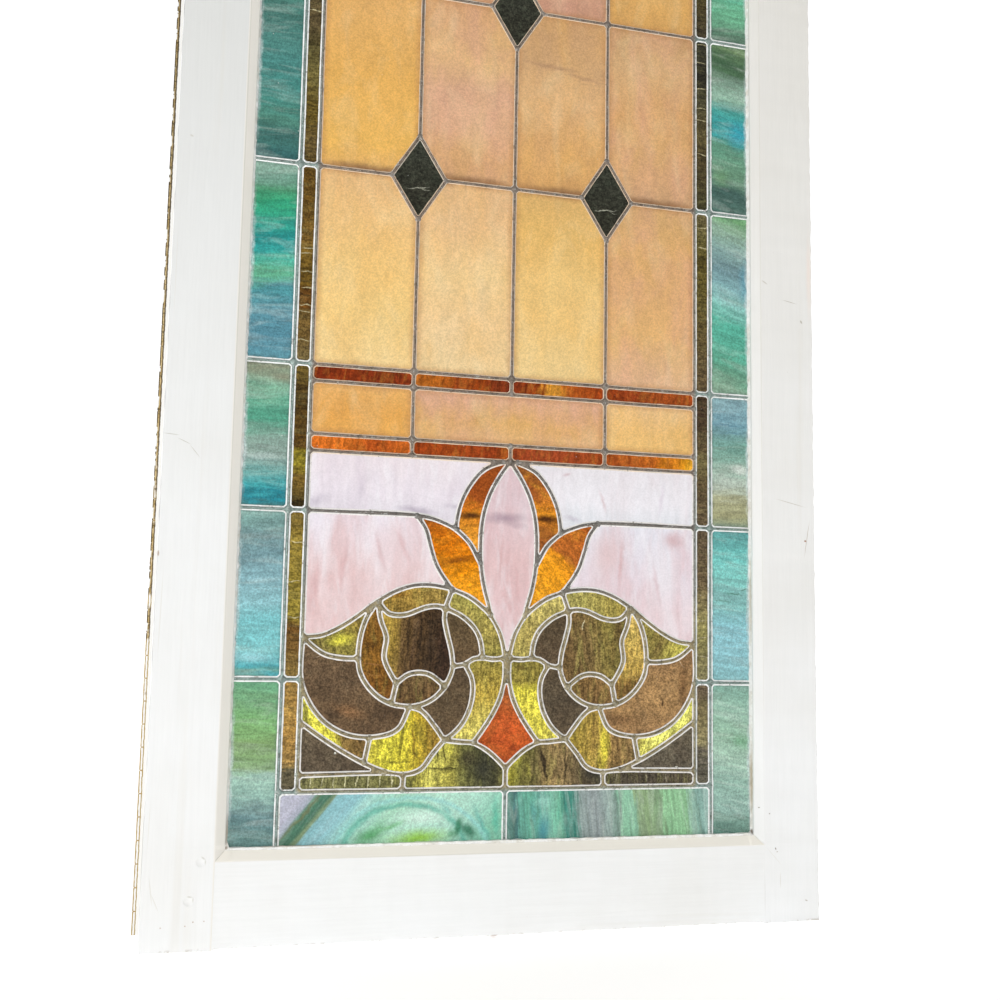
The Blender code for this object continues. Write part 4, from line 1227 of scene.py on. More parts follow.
# %% Pink and lilac pieces
ROSE = "d3a6a6"
MAUVE = "a596ab"
PINK = {
    "pink_upper_left": ("404 e2dce3, 425 ebe3ea, 456 ebe0e4", "d6c8d4", 0.4, [
        (-194, 411, 18, 10, -30, MAUVE, 0.4, 1.0), (-150, 425, 6, 26, 12, "b9acbc", 0.25, 1.0),
        (-95, 407, 30, 5, 5, "9c90a4", 0.55, 1.0), (-56, 412, 16, 4, 10, "a89cae", 0.4, 1.0),
        (-60, 430, 5, 25, 8, "cdbcc8", 0.3, 1.0)]),
    "pink_upper_right": ("404 e3e5ea, 425 eeebf0, 456 e8e4e8", "e0d0d3", 0.3, [
        (60, 450, 8, 3, -20, "c9a9ae", 0.6, 1.0), (100, 425, 3, 16, -20, "d0b4b8", 0.6, 1.0),
        (68, 405, 14, 4, 15, MAUVE, 0.4, 1.0), (165, 430, 4, 24, 10, "dcd0dc", 0.5, 1.0)]),
    "pink_lower_left": ("310 e8d0d0, 350 ead8da, 398 eae2ea", "dcb4b2", 0.6, [
        (-192, 330, 7, 40, 8, ROSE, 0.6, 1.0), (-165, 350, 5, 36, 6, ROSE, 0.55, 1.0),
        (-118, 370, 28, 40, -10, "e6ccce", 0.6, 1.0),
        (-130, 365, 4, 30, -16, "d0acae", 0.5, 1.0), (-108, 372, 4, 24, -24, ROSE, 0.45, 1.0)]),
    "pink_lower_right": ("310 eadade, 350 e8e0e8, 398 e6e4ec", "ddb8ba", 0.5, [
        (178, 388, 16, 14, 0, "cda3a5", 0.7, 1.0), (106, 370, 30, 44, 10, "dfc0c0", 0.75, 1.0),
        (166, 350, 26, 50, 0, "f0ecf0", 0.6, 1.0),
        (120, 360, 4, 40, 5, ROSE, 0.6, 1.0), (160, 340, 4, 30, -10, "d6b4b8", 0.5, 1.0)]),
    "pink_bud": ("298 e6c9c9, 360 e2c2c2, 415 e0cbd0, 455 dcc4c8", "d0a2a4", 0.5, [
        (-4, 403, 34, 8, -3, "a48c9a", 0.75, 1.0), (6, 397, 20, 6, 6, "b49ca6", 0.5, 1.0),
        (-8, 360, 3, 40, 5, ROSE, 0.6, 1.0),
        (9, 340, 3, 30, -5, ROSE, 0.5, 1.0)]),
}
for name, (bands, cloud, clouds, marks) in PINK.items():
    opal(glass(name), "pink opalescent glass", bands, 0, marks, upright=True, stretch=4.0, drift=9.0,
         reach=14.0, streak=0.035, streak_size=6.0, wisp="f6f4f8", wisps=0.55, cloud=cloud, clouds=clouds,
         grain=0.045, mottle=0.012, seeds=0.1, shine=0.4)
    print(name, len(marks), "wisps")

# %% [markdown]
# The petals are orange with umber bands, and the kite is red-orange. Both are strongly mottled.

# %% Petals and kite
ORANGE = dict(streak=0.26, streak_size=4.2, stretch=2.2, wisp="f6b43c", wisps=0.3, grain=0.32, mottle=0.14,
              seeds=0.1, drift=4.0, shine=0.1)
PETAL_MARKS = {
    "petal_inner_left": [(-24, 441, 28, 30, 22, "96491a", 0.9, 0.3),
                         (-39, 403.5, 22, 5.5, -3, "40240f", 0.95, 0.9)],
    "petal_inner_right": [(22, 432, 5, 24, -38, "9a5426", 0.8, 0.6),
                          (39, 403, 22, 5.5, 3, "3a200e", 0.95, 0.9),
                          (38, 384, 14, 24, 0, "8a4c22", 0.6, 0.8)],
    "petal_outer_left": [(-52, 359, 30, 6, -14, "8a4c0e", 0.9, 0.9),
                         (-62, 368, 10, 3, 30, "b4640e", 0.6, 1.0)],
    "petal_outer_right": [(32, 340, 4, 15, 20, "b87820", 0.6, 1.0),
                          (52, 352, 3, 14, -30, "d08a1c", 0.5, 1.0)],
}
PETALS = {
    "petal_inner_left": ("355 eca63c, 390 d98f2c, 410 c8741e, 422 ac5c1f, 456 94491a", -5),
    "petal_inner_right": ("355 9a5c30, 388 a8642c, 396 b87028, 412 cc8020, 432 b46a2a, 456 7f4c24", 10),
    "petal_outer_left": ("322 eea024, 344 e08c12, 367 d0760c, 382 cc700c, 390 c86c10, 402 b0601c", -14),
    "petal_outer_right": ("-12 c8861c, 4 f0a428, 50 ec9c20, 66 dc8c20, 70 b8682a, 122 b05e22", 46),
}
for name, (bands, lean) in PETALS.items():
    opal(glass(name), "orange streaky glass", bands, lean, PETAL_MARKS[name], **ORANGE)
opal(glass("red_kite"), "red-orange streaky glass",
     "150 98421a, 172 b65222, 196 c85a28, 215 b45a2a, 240 a86a3c", 8,
     [(-14, 196, 8, 12, 20, "b8602c", 0.7, 1.0), (10, 176, 12, 5, 30, "8f3a18", 0.6, 1.0)],
     **{**ORANGE, "wisp": "e0803c", "stretch": 1.3, "streak_size": 5.0, "cloud": "8a4420", "clouds": 0.45})
print(len(PETALS), "petals and a kite")

# %% [markdown]
# The scrolls run through olive, yellow and brown with coarse upright streaks. The crescents, corners,
# teardrops and small pieces are of a quieter, smoky brown. Each entry gives the left piece and then the
# right one, as a run of tones and the lean of that run.

# %% The runs of the scrolls
OLIVE = dict(upright=True, stretch=5.0, streak=0.42, streak_size=3.0, wisp="c9c86a", wisps=0.2,
             grain=0.48, mottle=0.22, seeds=0.1, drift=5.0, shine=0.12)
SMOKY = dict(streak=0.14, wisps=0.12, wisp="a89878", grain=0.42, mottle=0.18, stretch=1.6, reach=12.0,
             cloud="3f3226", clouds=0.45)
SCROLLS = {
    "scroll_ring_top": (("-140 907334, -95 967a39, -65 988144", 90),
                        ("65 a39a58, 95 a39752, 140 968038", 90)),
    "scroll_inner_ring": (("255 6c5630, 270 8a8040, 290 a4944e, 345 a09a4e", 0),
                          ("250 948c4c, 285 b6a45c, 345 bcb068", 0)),
    "scroll_leaf_tip": (("-195 6f6438, -170 8f8440, -150 94803c, -130 7c6c38", 62),
                        ("130 988f4a, 150 8a7c40, 172 86763f, 195 bcb454", 118)),
    "scroll_brown_band": (("200 6a421c, 262 7a541f, 310 845c27", 0),
                          ("200 6a5230, 238 7f6234, 256 c0a050, 310 c9ad60", 0)),
    "tulip": (("-140 a08a40, -120 a08439, -108 6c5430, -92 503c25, -78 40301f, -64 3c2b20, "
               "-45 503c2a", 96),
              ("45 6f5836, 72 6f5937, 92 7c683e, 106 887840, 122 5f4e2c, 140 7c6838", 84)),
    "scroll_small_piece": (("262 6b563d, 300 6a583c", 0), ("262 5f4f3c, 300 5a4c38", 0)),
    "scroll_lens": (("220 644b2e, 246 6e5838", 0), ("220 765b37, 246 84673c", 0)),
    "crescent": (("150 66503a, 215 6a543c, 240 705a42, 300 62503a", 0),
                 ("150 8c6a4a, 215 b08a5a, 240 b08a5a, 300 947050", 0)),
    "scroll_outer_band": (("-200 7c7638, -194 a8a244, -188 e8e054, -174 dcd44c, -168 8a703c, "
                           "-138 6c5230", 70),
                          ("138 7c6838, 148 948448, 154 dcd468, 170 ecea7c, 188 ecea78, "
                           "198 a89c50", 110)),
    "scroll_corner": (("150 5c5040, 190 665946", 0), ("150 655e50, 190 6e6654", 0)),
    "scroll_teardrop": (("180 6c5840, 223 64533c, 265 5a4a38", 0),
                        ("180 5f503c, 223 5b503f, 265 574836", 0)),
    "scroll_stem_band": (("160 dacf6e, 200 cabb5e, 227 b29941, 270 8a8040", 0),
                         ("160 dcd266, 200 dace50, 232 dcd04a, 242 8a7c38, 270 7f7438", 0)),
    "scroll_leaf": (("-135 c4b840, -118 d4ca42, -102 d0c23e, -88 b89f30, -70 94762e", 90),
                    ("70 a08a3a, 95 a88c44, 103 bcac40, 110 947646, 135 846c44", 90)),
    "scroll_bottom": (("-98 5c5c34, -84 a8a048, -72 ccc460, -56 a89f48, -44 686638, -20 444430, "
                       "-4 54502f", 90),
                      ("4 a09838, 14 706a32, 30 645936, 50 947c50, 70 705f42, 98 4c4838", 90)),
    "scroll_bottom_strip": (("-200 7f7c50, -150 6c6a44, -100 74703f", 90),
                            ("100 544c3c, 150 4a4236, 200 574e3e", 90)),
}
print(len(SCROLLS), "pairs of runs")

# %% Streaks and wisps that stand out in the scrolls
SCROLL_MARKS = {
    "crescent_left": [
        (-178, 268, 16, 0.8, -30, "b8a890", 0.8), (-155, 211, 24, 9, 16, "8f6844", 0.6, 1.0),
        (-114, 210, 26, 12, -10, "4a3a2a", 0.75, 1.0), (-182, 236, 12, 24, 0, "4c3c2c", 0.6, 1.0)],
    "crescent_right": [
        (186, 262, 10, 0.7, 60, "d9c4a0", 0.7), (166, 221, 1.2, 7, -10, "4a3422", 0.85),
        (190, 240, 8, 40, 0, "6a4c30", 0.8, 1.0), (120, 204, 28, 12, 8, "6a4c30", 0.7, 1.0),
        (168, 231, 16, 12, 0, "b08c5e", 0.6, 1.0), (160, 270, 20, 8, -20, "6f5238", 0.5, 1.0)],
    "scroll_bottom_left": [
        (-74, 184, 11, 11, 30, "e8e066", 0.95, 1.0), (-56, 176, 8, 9, 20, "dcd458", 0.8, 1.0),
        (-69, 176, 1.4, 14, 3, "3a3418", 0.8), (-62, 172, 1.2, 14, -4, "3a3418", 0.8),
        *((x, 157, 7, 0.9, 5, "2f2c18", 0.8) for x in (-82, -72, -63, -54)),
        (-92, 160, 20, 6, 0, "3c3a1e", 0.8, 1.0), (-64, 156, 24, 3, 2, "4a441e", 0.7, 1.0),
        (-38, 166, 14, 14, 0, "3c3428", 0.7, 1.0), (-22, 156, 22, 16, 0, "34342a", 0.7, 1.0)],
    "scroll_bottom_right": [
        (12, 168, 8, 12, 20, "e4dc58", 0.9, 1.0), (24, 154, 4, 14, -6, "b0a848", 0.35, 1.0),
        (40, 160, 2.6, 22, -12, "2c2216", 0.9), (62, 158, 0.9, 24, 0, "2f2618", 0.8),
        (54, 170, 10, 6, 0, "9a8454", 0.6, 1.0), (90, 152, 18, 16, 0, "33322a", 0.85, 1.0)],
    "scroll_leaf_tip_left": [
        (-166, 279, 19, 8, -12, "d4cc48", 0.95, 1.0), (-152, 298, 8, 8, 0, "6c5c34", 0.7, 1.0)],
    "scroll_leaf_tip_right": [
        (162, 277, 5, 12, 30, "6c5a34", 0.7, 1.0), (180, 275, 10, 4, -20, "b0a050", 0.6, 1.0)],
    "scroll_inner_ring_left": [
        (-38, 276, 8, 7, -30, "5c4a2c", 0.7, 1.0), (-70, 318, 10, 1.2, 30, "5f5428", 0.7)],
    "scroll_stem_band_left": [
        (-48, 257, 10, 2.5, 14, "5c4424", 0.8, 1.0), (-46, 234, 10, 2.0, 18, "6c5428", 0.6, 1.0),
        (-52, 214, 10, 1.2, 24, "7a6a34", 0.6, 1.0)],
    "scroll_stem_band_right": [
        (16, 254, 12, 3, -6, "5c4c24", 0.8, 1.0), (20, 212, 10, 1.4, -20, "9a8c38", 0.7, 1.0)],
    "scroll_ring_top_left": [
        (-112, 324, 20, 5, -6, "8a5c1c", 0.6, 1.0), (-84, 330, 12, 3, 4, "a89850", 0.5, 1.0)],
    "scroll_ring_top_right": [(96, 326, 8, 2, 20, "6c6430", 0.6, 1.0)],
    "scroll_corner_left": [(-168, 172, 1.6, 1.4, 0, "e9e9dc", 0.9)],
    "scroll_corner_right": [(182, 156, 1.6, 1.4, 0, "d9d9cc", 0.8)],
    "scroll_bottom_strip_left": [(x, 147, 0.8, 8, 4, "c9c49a", 0.8) for x in range(-190, -100, 11)],
    "scroll_bottom_strip_right": [(x, 146, 0.9, 5, 2, "b0a888", 0.35) for x in (116, 149, 171)],
    "scroll_brown_band_left": [
        (-131, 230, 14, 1.0, 5, "a87c40", 0.6), (-136, 246, 16, 1.2, 3, "9c7038", 0.5),
        (-134, 256, 14, 0.9, 3, "96693a", 0.5), (-124, 224, 9, 1.6, 14, "c09a58", 0.6)],
    "scroll_brown_band_right": [
        (133, 246, 14, 1.0, -3, "9a8448", 0.5), (132, 262, 16, 1.2, -3, "a88f50", 0.4),
        (131, 278, 12, 0.9, -3, "a08a4c", 0.5)],
    "scroll_outer_band_left": [
        (-160, 184, 0.8, 10, 30, "4a3c20", 0.7), (-178, 194, 1, 9, 40, "8a7c30", 0.6)],
    "scroll_outer_band_right": [
        (x, 172 + 0.62 * (x - 150), 0.8, 9, 55, "a89c40", 0.7) for x in range(148, 196, 9)],
    "scroll_leaf_left": [
        (-104, 186, 1.8, 24, 5, "6a6420", 0.8), (-92, 180, 2.0, 22, -5, "7a6420", 0.8),
        (-84, 190, 3, 20, -12, "8a7a2c", 0.7), (-118, 190, 1.2, 18, 8, "9a9030", 0.6),
        (-110, 164, 16, 1.4, 0, "6a6428", 0.6)],
    "scroll_leaf_right": [
        (103, 178, 4, 20, -4, "e0d048", 0.7), (92, 186, 3, 22, 6, "8a6e38", 0.5),
        (118, 180, 2, 20, -8, "6a5030", 0.6)],
    "tulip_left": [
        *((x, 285, 1.6, 34, 2, "2a2016", 0.55) for x in (-100, -88, -77, -66)),
        (-95, 268, 4, 26, 0, "5a4430", 0.5, 1.0), (-119, 282, 4, 26, 6, "b09848", 0.4, 1.0)],
    "tulip_right": [
        (74, 266, 2.4, 26, 8, "a89a58", 0.5), (98, 285, 2, 30, 2, "4a3c24", 0.5),
        (80, 298, 0.8, 7, 8, "d9d0a8", 0.8), (106, 298, 12, 10, 0, "8c8040", 0.6, 1.0)],
}
print(sum(map(len, SCROLL_MARKS.values())), "marks on the scrolls")

# %% Finish the scrolls
SMOKY_PIECES = ("crescent", "scroll_corner", "scroll_teardrop", "scroll_small_piece")
for name, sides in SCROLLS.items():
    for side, (bands, lean) in zip(("left", "right"), sides):
        full = f"{name}_{side}"
        streaks = {**OLIVE, "upright": not lean}
        if name in SMOKY_PIECES:
            streaks.update(SMOKY)
        if full == "tulip_left":
            streaks["wisp"] = "86705c"
        opal(glass(full), "streaky scroll glass", bands, lean, SCROLL_MARKS.get(full, ()), **streaks)
print(2 * len(SCROLLS), "scroll pieces")

# %% [markdown]
# ### Lead, solder and cement
#
# Old lead is a dull grey metal under a thin patina. Its base colour is metal grey broken by slow
# patches and fine pitting, with pale flecks of painted highlight, and a middling roughness spreads the
# highlight. The patina is greenish in the border, olive round the scrolls, grey round the petals and
# grey-brown in the field, so one small helper tells the areas apart by place. Solder is the same but
# smoother and paler. Cement is whiting and oil: chalky, matt and off-white, yellowed in the field,
# with darker crumbs.

# %% A tone for each area
BORDER_LINE = (205, 201)


def by_area(tree, window, border, inside):
    """A tone for the border, and a run of tones up the window for all that lies inside it."""
    side, height = (node(tree, "SeparateXYZ", {0: window}, axis) for axis in ("X", "Z"))
    side = node(tree, "Math", {0: side}, operation="ABSOLUTE")
    inner = node(tree, "MapRange", {0: side, 1: BORDER_LINE[0], 2: BORDER_LINE[1]})
    return node(tree, "Mix", {0: inner, 6: border, 7: gradient(tree, height, f"134 {border}, {inside}")},
                **COLOURS)


# %% Lead and solder


def lead_metal(name, paler, roughness):
    """Dull grey metal under a patina, and so much paler than lead."""
    new, tree, window = material(name, Metallic=0.6, Roughness=roughness)
    base = by_area(tree, window, "8b9c96", "139 978a68, 310 978a68, 335 78736c, 450 78736c, 462 877a6e")
    base = node(tree, "Mix", {0: paler, 6: base, 7: "c4c8c6"}, **COLOURS)
    base = broken(tree, base, window, 18.0, 0.14, detail=4, rough=0.65)
    base = broken(tree, base, window, 1.6, 0.35, detail=4, rough=0.7)
    base = stained(tree, base, "3f3a30", window, 7.0, 0.54, 0.66, 0.6, detail=4, rough=0.6, warp=0.5)
    # Pale flecks of painted highlight.
    base = stained(tree, base, "c9cdca", window, 3.2, 0.56, 0.66, 0.6, detail=4, rough=0.7, warp=0.8)
    finish(tree, base, patches(tree, window, 1.6, 0.0, 1.0, detail=4, rough=0.7), 0.12)
    return new


LEAD = lead_metal("aged lead", 0.0, 0.5)
SOLDER = lead_metal("tin and lead solder", 0.2, 0.42)
coated((flange, back_flange, heart), LEAD)
coated((bpy.data.objects["solder_joints_front"], bpy.data.objects["solder_joints_back"]), SOLDER)
print(LEAD.name, "and", SOLDER.name)

# %% Cement
CEMENT, tree, window = material("whiting cement", Roughness=0.95)
base = by_area(tree, window, "fafcfb", "139 f2eeea, 450 f2eeea, 462 e8cfb2")
base = stained(tree, base, "c9cbc4", window, 14.0, 0.45, 0.7, 0.6)
base = broken(tree, base, window, 1.1, 0.08, rough=0.7)
base = stained(tree, base, "6f6452", window, 5.0, 0.58, 0.68, 0.75, detail=4, rough=0.7, warp=0.6)
finish(tree, base, patches(tree, window, 1.1, 0.0, 1.0, rough=0.7), 0.2)
coated(cements, CEMENT)
print(CEMENT.name, "on", len(cements), "pieces")

# %% [markdown]
# ### Painted wood
#
# Many coats of oil paint lie on the sash. The paint is white, slightly greyed in soft patches, and
# given painted shade that darkens it higher up. It has a soft sheen and shows the marks of the brush:
# fine long grooves that run along each member. Marks of use are strokes at their own places: hairline
# cracks, rust specks, smudges, and dirt in the joints. Other strokes are painted shade: in the hollows
# over the pins, on the left moulding, and in thin shadow lines along the mouldings. They are laid on
# the front and fade out before the back.

# %% Marks of use
MARKS = {
    # Hairline cracks, a worn outer edge, rust specks and painted shade in the hollows over the pins;
    # then dirt in the joint, a moulding made creamier and darker, partly painted shade on the side turned
    # from the lamp, and a painted shadow line along its edge.
    "left": [
        (-331, 466, 9, 0.4, 4, "b4b1a2", 0.8), (-319, 460, 8, 0.4, 24, "b4b1a2", 0.8),
        (-309, 451, 9, 0.4, 50, "bdbaac", 0.75), (-325.5, 755, 2.4, 1.2, 20, "c6c2b6", 0.6),
        (-337.5, 355, 1.2, 3.5, 0, "9a7a5a", 0.7), (-292, 26, 1.0, 0.7, 0, "a8805f", 0.7),
        (-298.8, 22.7, 0.8, 0.7, 0, "b08a6a", 0.7), (-282.4, 26.3, 0.8, 0.6, 0, "a8805f", 0.7),
        (-320, 22, 1.0, 0.8, 10, "b8a08a", 0.6), (-330, 54, 0.7, 16, -8, "dedbd2", 0.6),
        (-334, 110, 0.6, 26, 1, "e2e0d8", 0.5), (-326, 44, 0.6, 11, -24, "dedbd2", 0.6),
        (-333, 300, 0.7, 50, 1, "e0ded6", 0.5), (-334, 620, 0.6, 60, 0, "dcdad2", 0.4),
        # Painted shade in the hollows over the pins.
        (-285.4, 81.4, 3.4, 1.3, 38, "c8c4ba", 0.8, 1.0), (-283.4, 78, 1.1, 3.4, 0, "cfccc2", 0.7, 1.0),
        (-296, 47.8, 3.8, 1.3, 10, "c8c4ba", 0.8, 1.0), (-292.9, 45, 1.1, 3.4, 0, "cfccc2", 0.7, 1.0),
        (-275, 56, 0.5, 26, 0, "b4aca0", 0.7, 0.8), (-275, 18, 0.5, 8, 0, "a8a094", 0.7, 0.8),
        (-275, 4, 0.5, 5, 0, "9a8c7c", 0.7, 0.8),
        # The moulding, creamier and darker as painted shade, then a painted shadow line along its edge.
        (-270.5, 740, 7, 2600, 0, "eeeae1", 0.9, 0.3), (-275.2, 740, 0.8, 760, 0, "cfccc2", 0.8, 0.7),
    ],
    # Cracks, smudges, a rust spot with its crack, a worn outer edge and a scratched corner; then dirt in
    # the joint, and a painted shadow line along the moulding.
    "right": [
        (310, 652, 11, 0.5, 10, "b8b0a2", 0.75), (280, 671, 5, 1.0, 30, "c8c2b6", 0.7),
        (324, 631, 2.6, 1.4, 60, "b8b0a2", 0.8), (309, 432, 22, 0.5, 12, "c0baac", 0.75),
        (326, 392, 1.6, 1.4, 0, "a06a48", 0.95), (328, 394, 0.5, 24, 10, "bcae9f", 0.8),
        (281, 109, 1.1, 0.9, 0, "8f8474", 0.8), (270.5, 115, 1.2, 0.8, 0, "8f8474", 0.8),
        (286, 66, 15, 0.5, 47, "e2dfd6", 0.5), (293, 42, 0.6, 10, 0, "dedad0", 0.6),
        (322.6, 20.7, 2.2, 0.8, 20, "a89a8a", 0.7), (334, 683, 5, 62, 0, "f2e2d6", 0.6, 1.0),
        (338, 40, 2.0, 46, 0, "bcb0a4", 0.4, 0.9), (339, 393, 1.6, 38, 0, "a89a8a", 0.6, 0.9),
        (287.7, 73.7, 0.8, 1.6, -25, "6a5a4a", 0.9), (289.5, 70.5, 1.2, 0.7, 0, "b0a494", 0.7),
        # Dirt in the joint, then a painted shadow line along the moulding.
        (275, 30, 0.5, 34, 0, "b0a89a", 0.6, 0.8), (275.2, 740, 0.7, 760, 0, "d8d4ca", 0.6, 0.7),
    ],
    # Bare patches on the lower edge, a creamy moulding and a painted shadow line under it.
    "bottom": [
        (-11, 1.0, 5, 1.0, 0, "8a6a50", 0.85), (107, 0.6, 7, 0.9, 0, "8a7058", 0.85),
        # A creamy moulding, then a painted shadow line along its edge.
        (0, 82.5, 1200, 5.8, 0, "fffaee", 0.9, 0.3), (0, 77.8, 330, 0.7, 0, "d6d2c8", 0.6, 0.7),
    ],
    "top": [],
}
print({side: len(marks) for side, marks in MARKS.items()}, "marks")

# %% Old white paint
MARK_DEPTH = 20


def paint(name, brush, painted_shade, marks):
    """Old white paint whose brush marks run along x or z, with painted shade that darkens it higher up."""
    new, tree, window = material(name, Roughness=0.42, IOR=1.47)
    base = stained(tree, "f6f7f7", "f0f0ee", window, 120.0, 0.35, 0.7, 1.0)
    height = node(tree, "SeparateXYZ", {0: window}, "Z")
    # Painted shade: the paint is mixed towards a darker tone higher up.
    low, high, most, tone = painted_shade
    shaded_higher_up = node(tree, "MapRange", {0: height, 1: low, 2: high, 3: 0.0, 4: most})
    base = node(tree, "Mix", {0: shaded_higher_up, 6: base, 7: tone}, **COLOURS)
    base = broken(tree, base, window, 2.2, 0.012, stretch=brush, rough=0.6)
    base = stained(tree, base, "b8b09e", window, 6.0, 0.7, 0.76, 0.35, detail=5, rough=0.75, warp=0.4)
    base = stained(tree, base, "dcd6c8", window, 26.0, 0.62, 0.8, 0.3, stretch=brush, rough=0.6)
    worn = node(tree, "MapRange", {0: height, 1: 3.0, 2: 0.5})
    bare = patches(tree, window, 7.0, 0.54, 0.62, 0.0, 0.6, detail=4, rough=0.7)
    worn = node(tree, "Math", {0: worn, 1: bare}, operation="MULTIPLY")
    base = node(tree, "Mix", {0: worn, 6: base, 7: "a89a88"}, **COLOURS)
    for x, z, long, wide, lean, tone, amount, *soft in marks:
        base = stroke(tree, base, window, x, z, long, wide, lean, tone, amount, *(soft or [0.6]),
                      deep=MARK_DEPTH, y=FRONT_FACE)
    hairs = patches(tree, window, 2.2, 0.0, 1.0, stretch=brush, rough=0.6)
    drips = patches(tree, window, 24.0, 0.0, 1.0, stretch=(1, 1, 2.5), detail=2, rough=0.5)
    relief = node(tree, "Math", {0: hairs, 1: 0.35, 2: drips}, operation="MULTIPLY_ADD")
    finish(tree, base, relief, 0.5)
    return new


# %% Paint the four members
UPRIGHT, LEVEL = (1, 1, 30), (30, 1, 1)
# Painted shade for each member: where it starts, where it is full, how strong it gets, and its tone.
COOL_PAINTED_SHADE = (60, 900, 0.85, "d6d7d4")
WARM_PAINTED_SHADE = (60, 1100, 0.7, "dcd8ce")
FOOT_PAINTED_SHADE = (0, 800, 0.5, "dcd8ce")
for name, brush, painted_shade in (("left", UPRIGHT, COOL_PAINTED_SHADE), ("right", UPRIGHT, WARM_PAINTED_SHADE),
                          ("bottom", LEVEL, FOOT_PAINTED_SHADE), ("top", LEVEL, WARM_PAINTED_SHADE)):
    coated([sash[name]], paint(f"old white paint {name} member", brush, painted_shade, MARKS[name]))
    print(sash[name].data.materials[0].name)

# %% [markdown]
# ### Putty
#
# Putty dries chalky and cream, smeared with paint, with brown crumbs where it has come loose. A few
# longer stains of dirt and damp lie on it at their own places.

# %% Putty
PUTTY_STAINS = (
    (-265.5, 89, 3, 2, "6a5644", 0.8), (265.5, 90, 2, 4, "5f4c3a", 0.85),
    (-265, 104, 2, 22, "b8ab9a", 0.7), (266, 140, 3, 50, "b4a68c", 0.85),
    (266, 330, 2, 60, "c0b8a4", 0.7), (-200, 89, 60, 1.2, "b4a894", 0.6),
    (-264, 330, 1.2, 160, "c4c8c0", 0.5),
)
PUTTY, tree, window = material("dried linseed putty", Roughness=0.9)
base = stained(tree, "f6f6f3", "dfdacd", window, 9.0, 0.45, 0.75, 1.0, detail=4, rough=0.6)
base = broken(tree, base, window, 2.4, 0.08, detail=4, rough=0.7)
base = stained(tree, base, "94866f", window, 4.0, 0.64, 0.7, 0.8, detail=5, rough=0.75, warp=0.5)
for x, z, wide, high, tone, amount in PUTTY_STAINS:
    base = stroke(tree, base, window, x, z, wide, high, 0, tone, amount, 0.8)
finish(tree, base, patches(tree, window, 2.4, 0.0, 1.0, detail=4, rough=0.7), 0.4)
coated((bed, fillet), PUTTY)
print(PUTTY.name, "with", len(PUTTY_STAINS), "stains")

# %% [markdown]
# ### Painted brass
#
# The strip was painted over with the sash. Its bare brass is golden brown and tarnished, and darker
# along its folds. The paint holds best low down, and higher up only on the inner leg and in a few
# flakes on the outer fold. The material measures along the section from the strip's left edge, and
# along the height from each nick, where the paint has cracked away. Where there is paint, the surface
# isn't metallic.

# %% How far along the section, and from the nearest nick
BRASS, tree, window = material("tarnished brass with old paint", Roughness=0.45)
base = stained(tree, "cdb788", "a8905c", window, 5.0, 0.42, 0.6, 1.0, detail=4, rough=0.65)
edge = strip_low.x
side, height = (node(tree, "SeparateXYZ", {0: window}, axis) for axis in ("X", "Z"))
nick = node(tree, "Math", {0: height, 1: strip_low.z}, operation="SUBTRACT")
nick = node(tree, "Math", {0: nick, 1: SNIP / 2}, operation="PINGPONG")
side = node(tree, "Math", {0: side, 1: patches(tree, window, 4.0, 0.3, 0.7, -0.25, 0.25)}, operation="ADD")
height = node(tree, "Math", {0: height, 1: patches(tree, window, 20.0, 0.35, 0.65, -110.0, 110.0)},
              operation="ADD")
PAINTED_BELOW, BARE_ABOVE = 280, 360
old_paint = node(tree, "MapRange", {0: height, 1: BARE_ABOVE, 2: PAINTED_BELOW})
print(f"section {strip_high.x - edge:.1f} mm wide, a nick every {SNIP} mm")

# %% Tarnish, and darker folds
folds = gradient(tree, side, f"{edge} ffffff, {edge + 1.0} ffffff, {edge + 1.2} 000000,"
                             f"{edge + 2.1} 000000, {edge + 2.3} ffffff")
tarnished_folds = node(tree, "Mix", {0: folds, 6: base, 7: "65563e"}, **COLOURS)
tarnished_folds = stained(tree, tarnished_folds, "2f2718", window, 2.4, 0.54, 0.64, 0.7, stretch=(2, 2, 1), rough=0.7)
base = node(tree, "Mix", {0: old_paint, 6: tarnished_folds, 7: "ad9150"}, **COLOURS)
print(len(tree.nodes), "nodes so far")

# %% Where paint still clings
flaked = gradient(tree, side, f"{edge} 000000, {edge + 0.9} 000000, {edge + 1.1} ffffff, {edge + 2.5} ffffff,"
                              f"{edge + 2.7} 000000, {edge + 3.3} 000000, {edge + 3.5} ffffff")
beyond = gradient(tree, side, f"{edge} 000000, {edge + 3.3} 000000, {edge + 3.5} ffffff")
clinging = patches(tree, window, 11.0, 0.55, 0.57, stretch=(4, 4, 1), detail=1)
outermost = node(tree, "MapRange", {0: side, 1: edge + 1.4, 2: edge + 1.2})
clinging = node(tree, "Math", {0: clinging, 1: outermost}, operation="MULTIPLY")
beyond = node(tree, "Math", {0: beyond, 1: clinging}, operation="MAXIMUM")
painted = node(tree, "Mix", {0: old_paint, 6: beyond, 7: flaked}, **COLOURS)
nick = node(tree, "MapRange", {0: nick, 1: 0.35, 2: 0.6})
inner = node(tree, "MapRange", {0: side, 1: edge + 3.3, 2: edge + 3.5})
nick = node(tree, "Math", {0: nick, 1: inner}, operation="MAXIMUM")
painted = node(tree, "Math", {0: painted, 1: nick}, operation="MULTIPLY")
base = node(tree, "Mix", {0: painted, 6: base, 7: "f4f3ef"}, **COLOURS)
bare = node(tree, "Math", {0: 0.8, 1: painted}, operation="SUBTRACT", use_clamp=True)
finish(tree, base, painted, 0.15, Metallic=bare)
coated([strip], BRASS)
print(BRASS.name, "with", len(tree.nodes), "nodes")

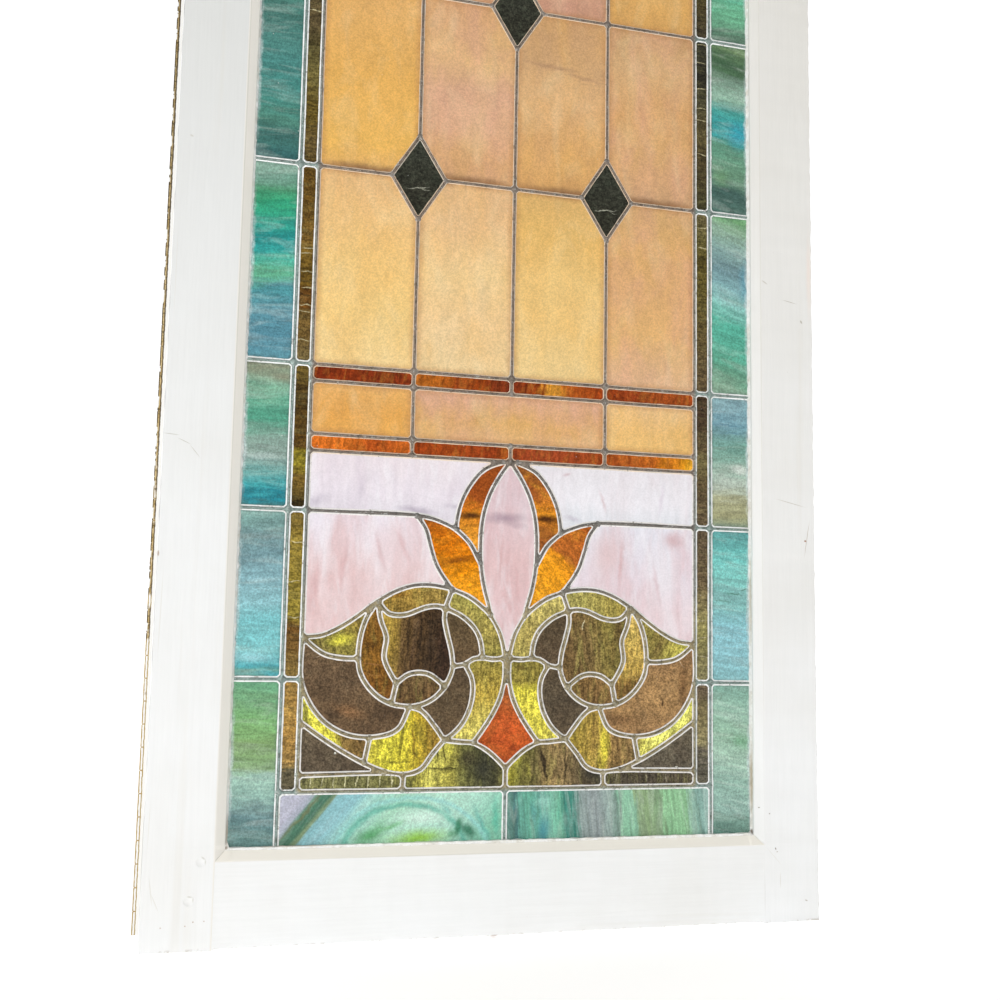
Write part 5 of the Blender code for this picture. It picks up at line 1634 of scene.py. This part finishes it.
# %% [markdown]
# ## The studio
#
# The window stands on a plain white floor in front of a white backdrop. One large soft lamp on the left
# lights it, and a dim white world fills the shadows.

# %% World, floor and backdrop
WHITE = (1, 1, 1, 1)
WORLD_LIGHT = 0.45
PAPER_SIZE = 14
PAPER_TONE = (0.9, 0.9, 0.9, 1)
PAPER_GLOW = 0.5

scene = bpy.context.scene
scene.view_settings.view_transform = "Standard"
scene.world = bpy.data.worlds.new("studio")
scene.world.use_nodes = True
background = scene.world.node_tree.nodes["Background"]
background.inputs["Color"].default_value = WHITE
background.inputs["Strength"].default_value = WORLD_LIGHT

bpy.ops.object.select_all(action="DESELECT")
bpy.ops.mesh.primitive_plane_add(size=PAPER_SIZE, location=(0, 0, -0.001))
floor = bpy.context.object
floor.name = "floor"
bpy.ops.mesh.primitive_plane_add(size=PAPER_SIZE, location=(0, 4, 5), rotation=(math.pi / 2, 0, 0))
backdrop = bpy.context.object
backdrop.name = "backdrop"
white = bpy.data.materials.new("white studio paper")
white.use_nodes = True
shader = white.node_tree.nodes["Principled BSDF"]
for socket, value in {"Base Color": PAPER_TONE, "Roughness": 1, "Emission Color": WHITE,
                      "Emission Strength": PAPER_GLOW}.items():
    shader.inputs[socket].default_value = value
coated((floor, backdrop), white)
print(f"paper {PAPER_SIZE} m wide, world light {WORLD_LIGHT}")

# %% The lamp
LAMP_PLACE = Vector((-1.5, -2.9, 0.75))
LAMP_AIM = Vector((0, 0, 0.45))
LAMP_WIDTH, LAMP_HEIGHT = 1.8, 1.2
LAMP_WATTS = 35

bpy.ops.object.light_add(type="AREA", location=LAMP_PLACE)
lamp = bpy.context.object
lamp.name = "soft_lamp"
lamp.data.shape = "RECTANGLE"
lamp.data.size = LAMP_WIDTH
lamp.data.size_y = LAMP_HEIGHT
lamp.data.energy = LAMP_WATTS
lamp.rotation_euler = (LAMP_AIM - lamp.location).to_track_quat("-Z", "Y").to_euler()
print(f"lamp {(LAMP_AIM - LAMP_PLACE).length:.2f} m from the window")

# %% The camera
VIEW_FROM = Vector((-0.3457, -1.1827, 0.2797))
VIEW_RIGHT = Vector((0.9609, -0.2762, 0.0174))
VIEW_UP = Vector((-0.0483, -0.1055, 0.9932))
SENSOR_WIDTH = 36
LENS = 44.23
FAR_END = 50

camera_data = bpy.data.cameras.new("camera")
camera_data.sensor_width = SENSOR_WIDTH
camera_data.lens = LENS
camera_data.clip_end = FAR_END
camera = bpy.data.objects.new("camera", camera_data)
bpy.context.collection.objects.link(camera)
turn = Matrix((VIEW_RIGHT, VIEW_UP, VIEW_RIGHT.cross(VIEW_UP))).transposed()
camera.matrix_world = Matrix.Translation(VIEW_FROM) @ turn.to_4x4()
scene.camera = camera
print(f"camera {VIEW_FROM.length:.2f} m from the foot of the window, lens {LENS} mm")
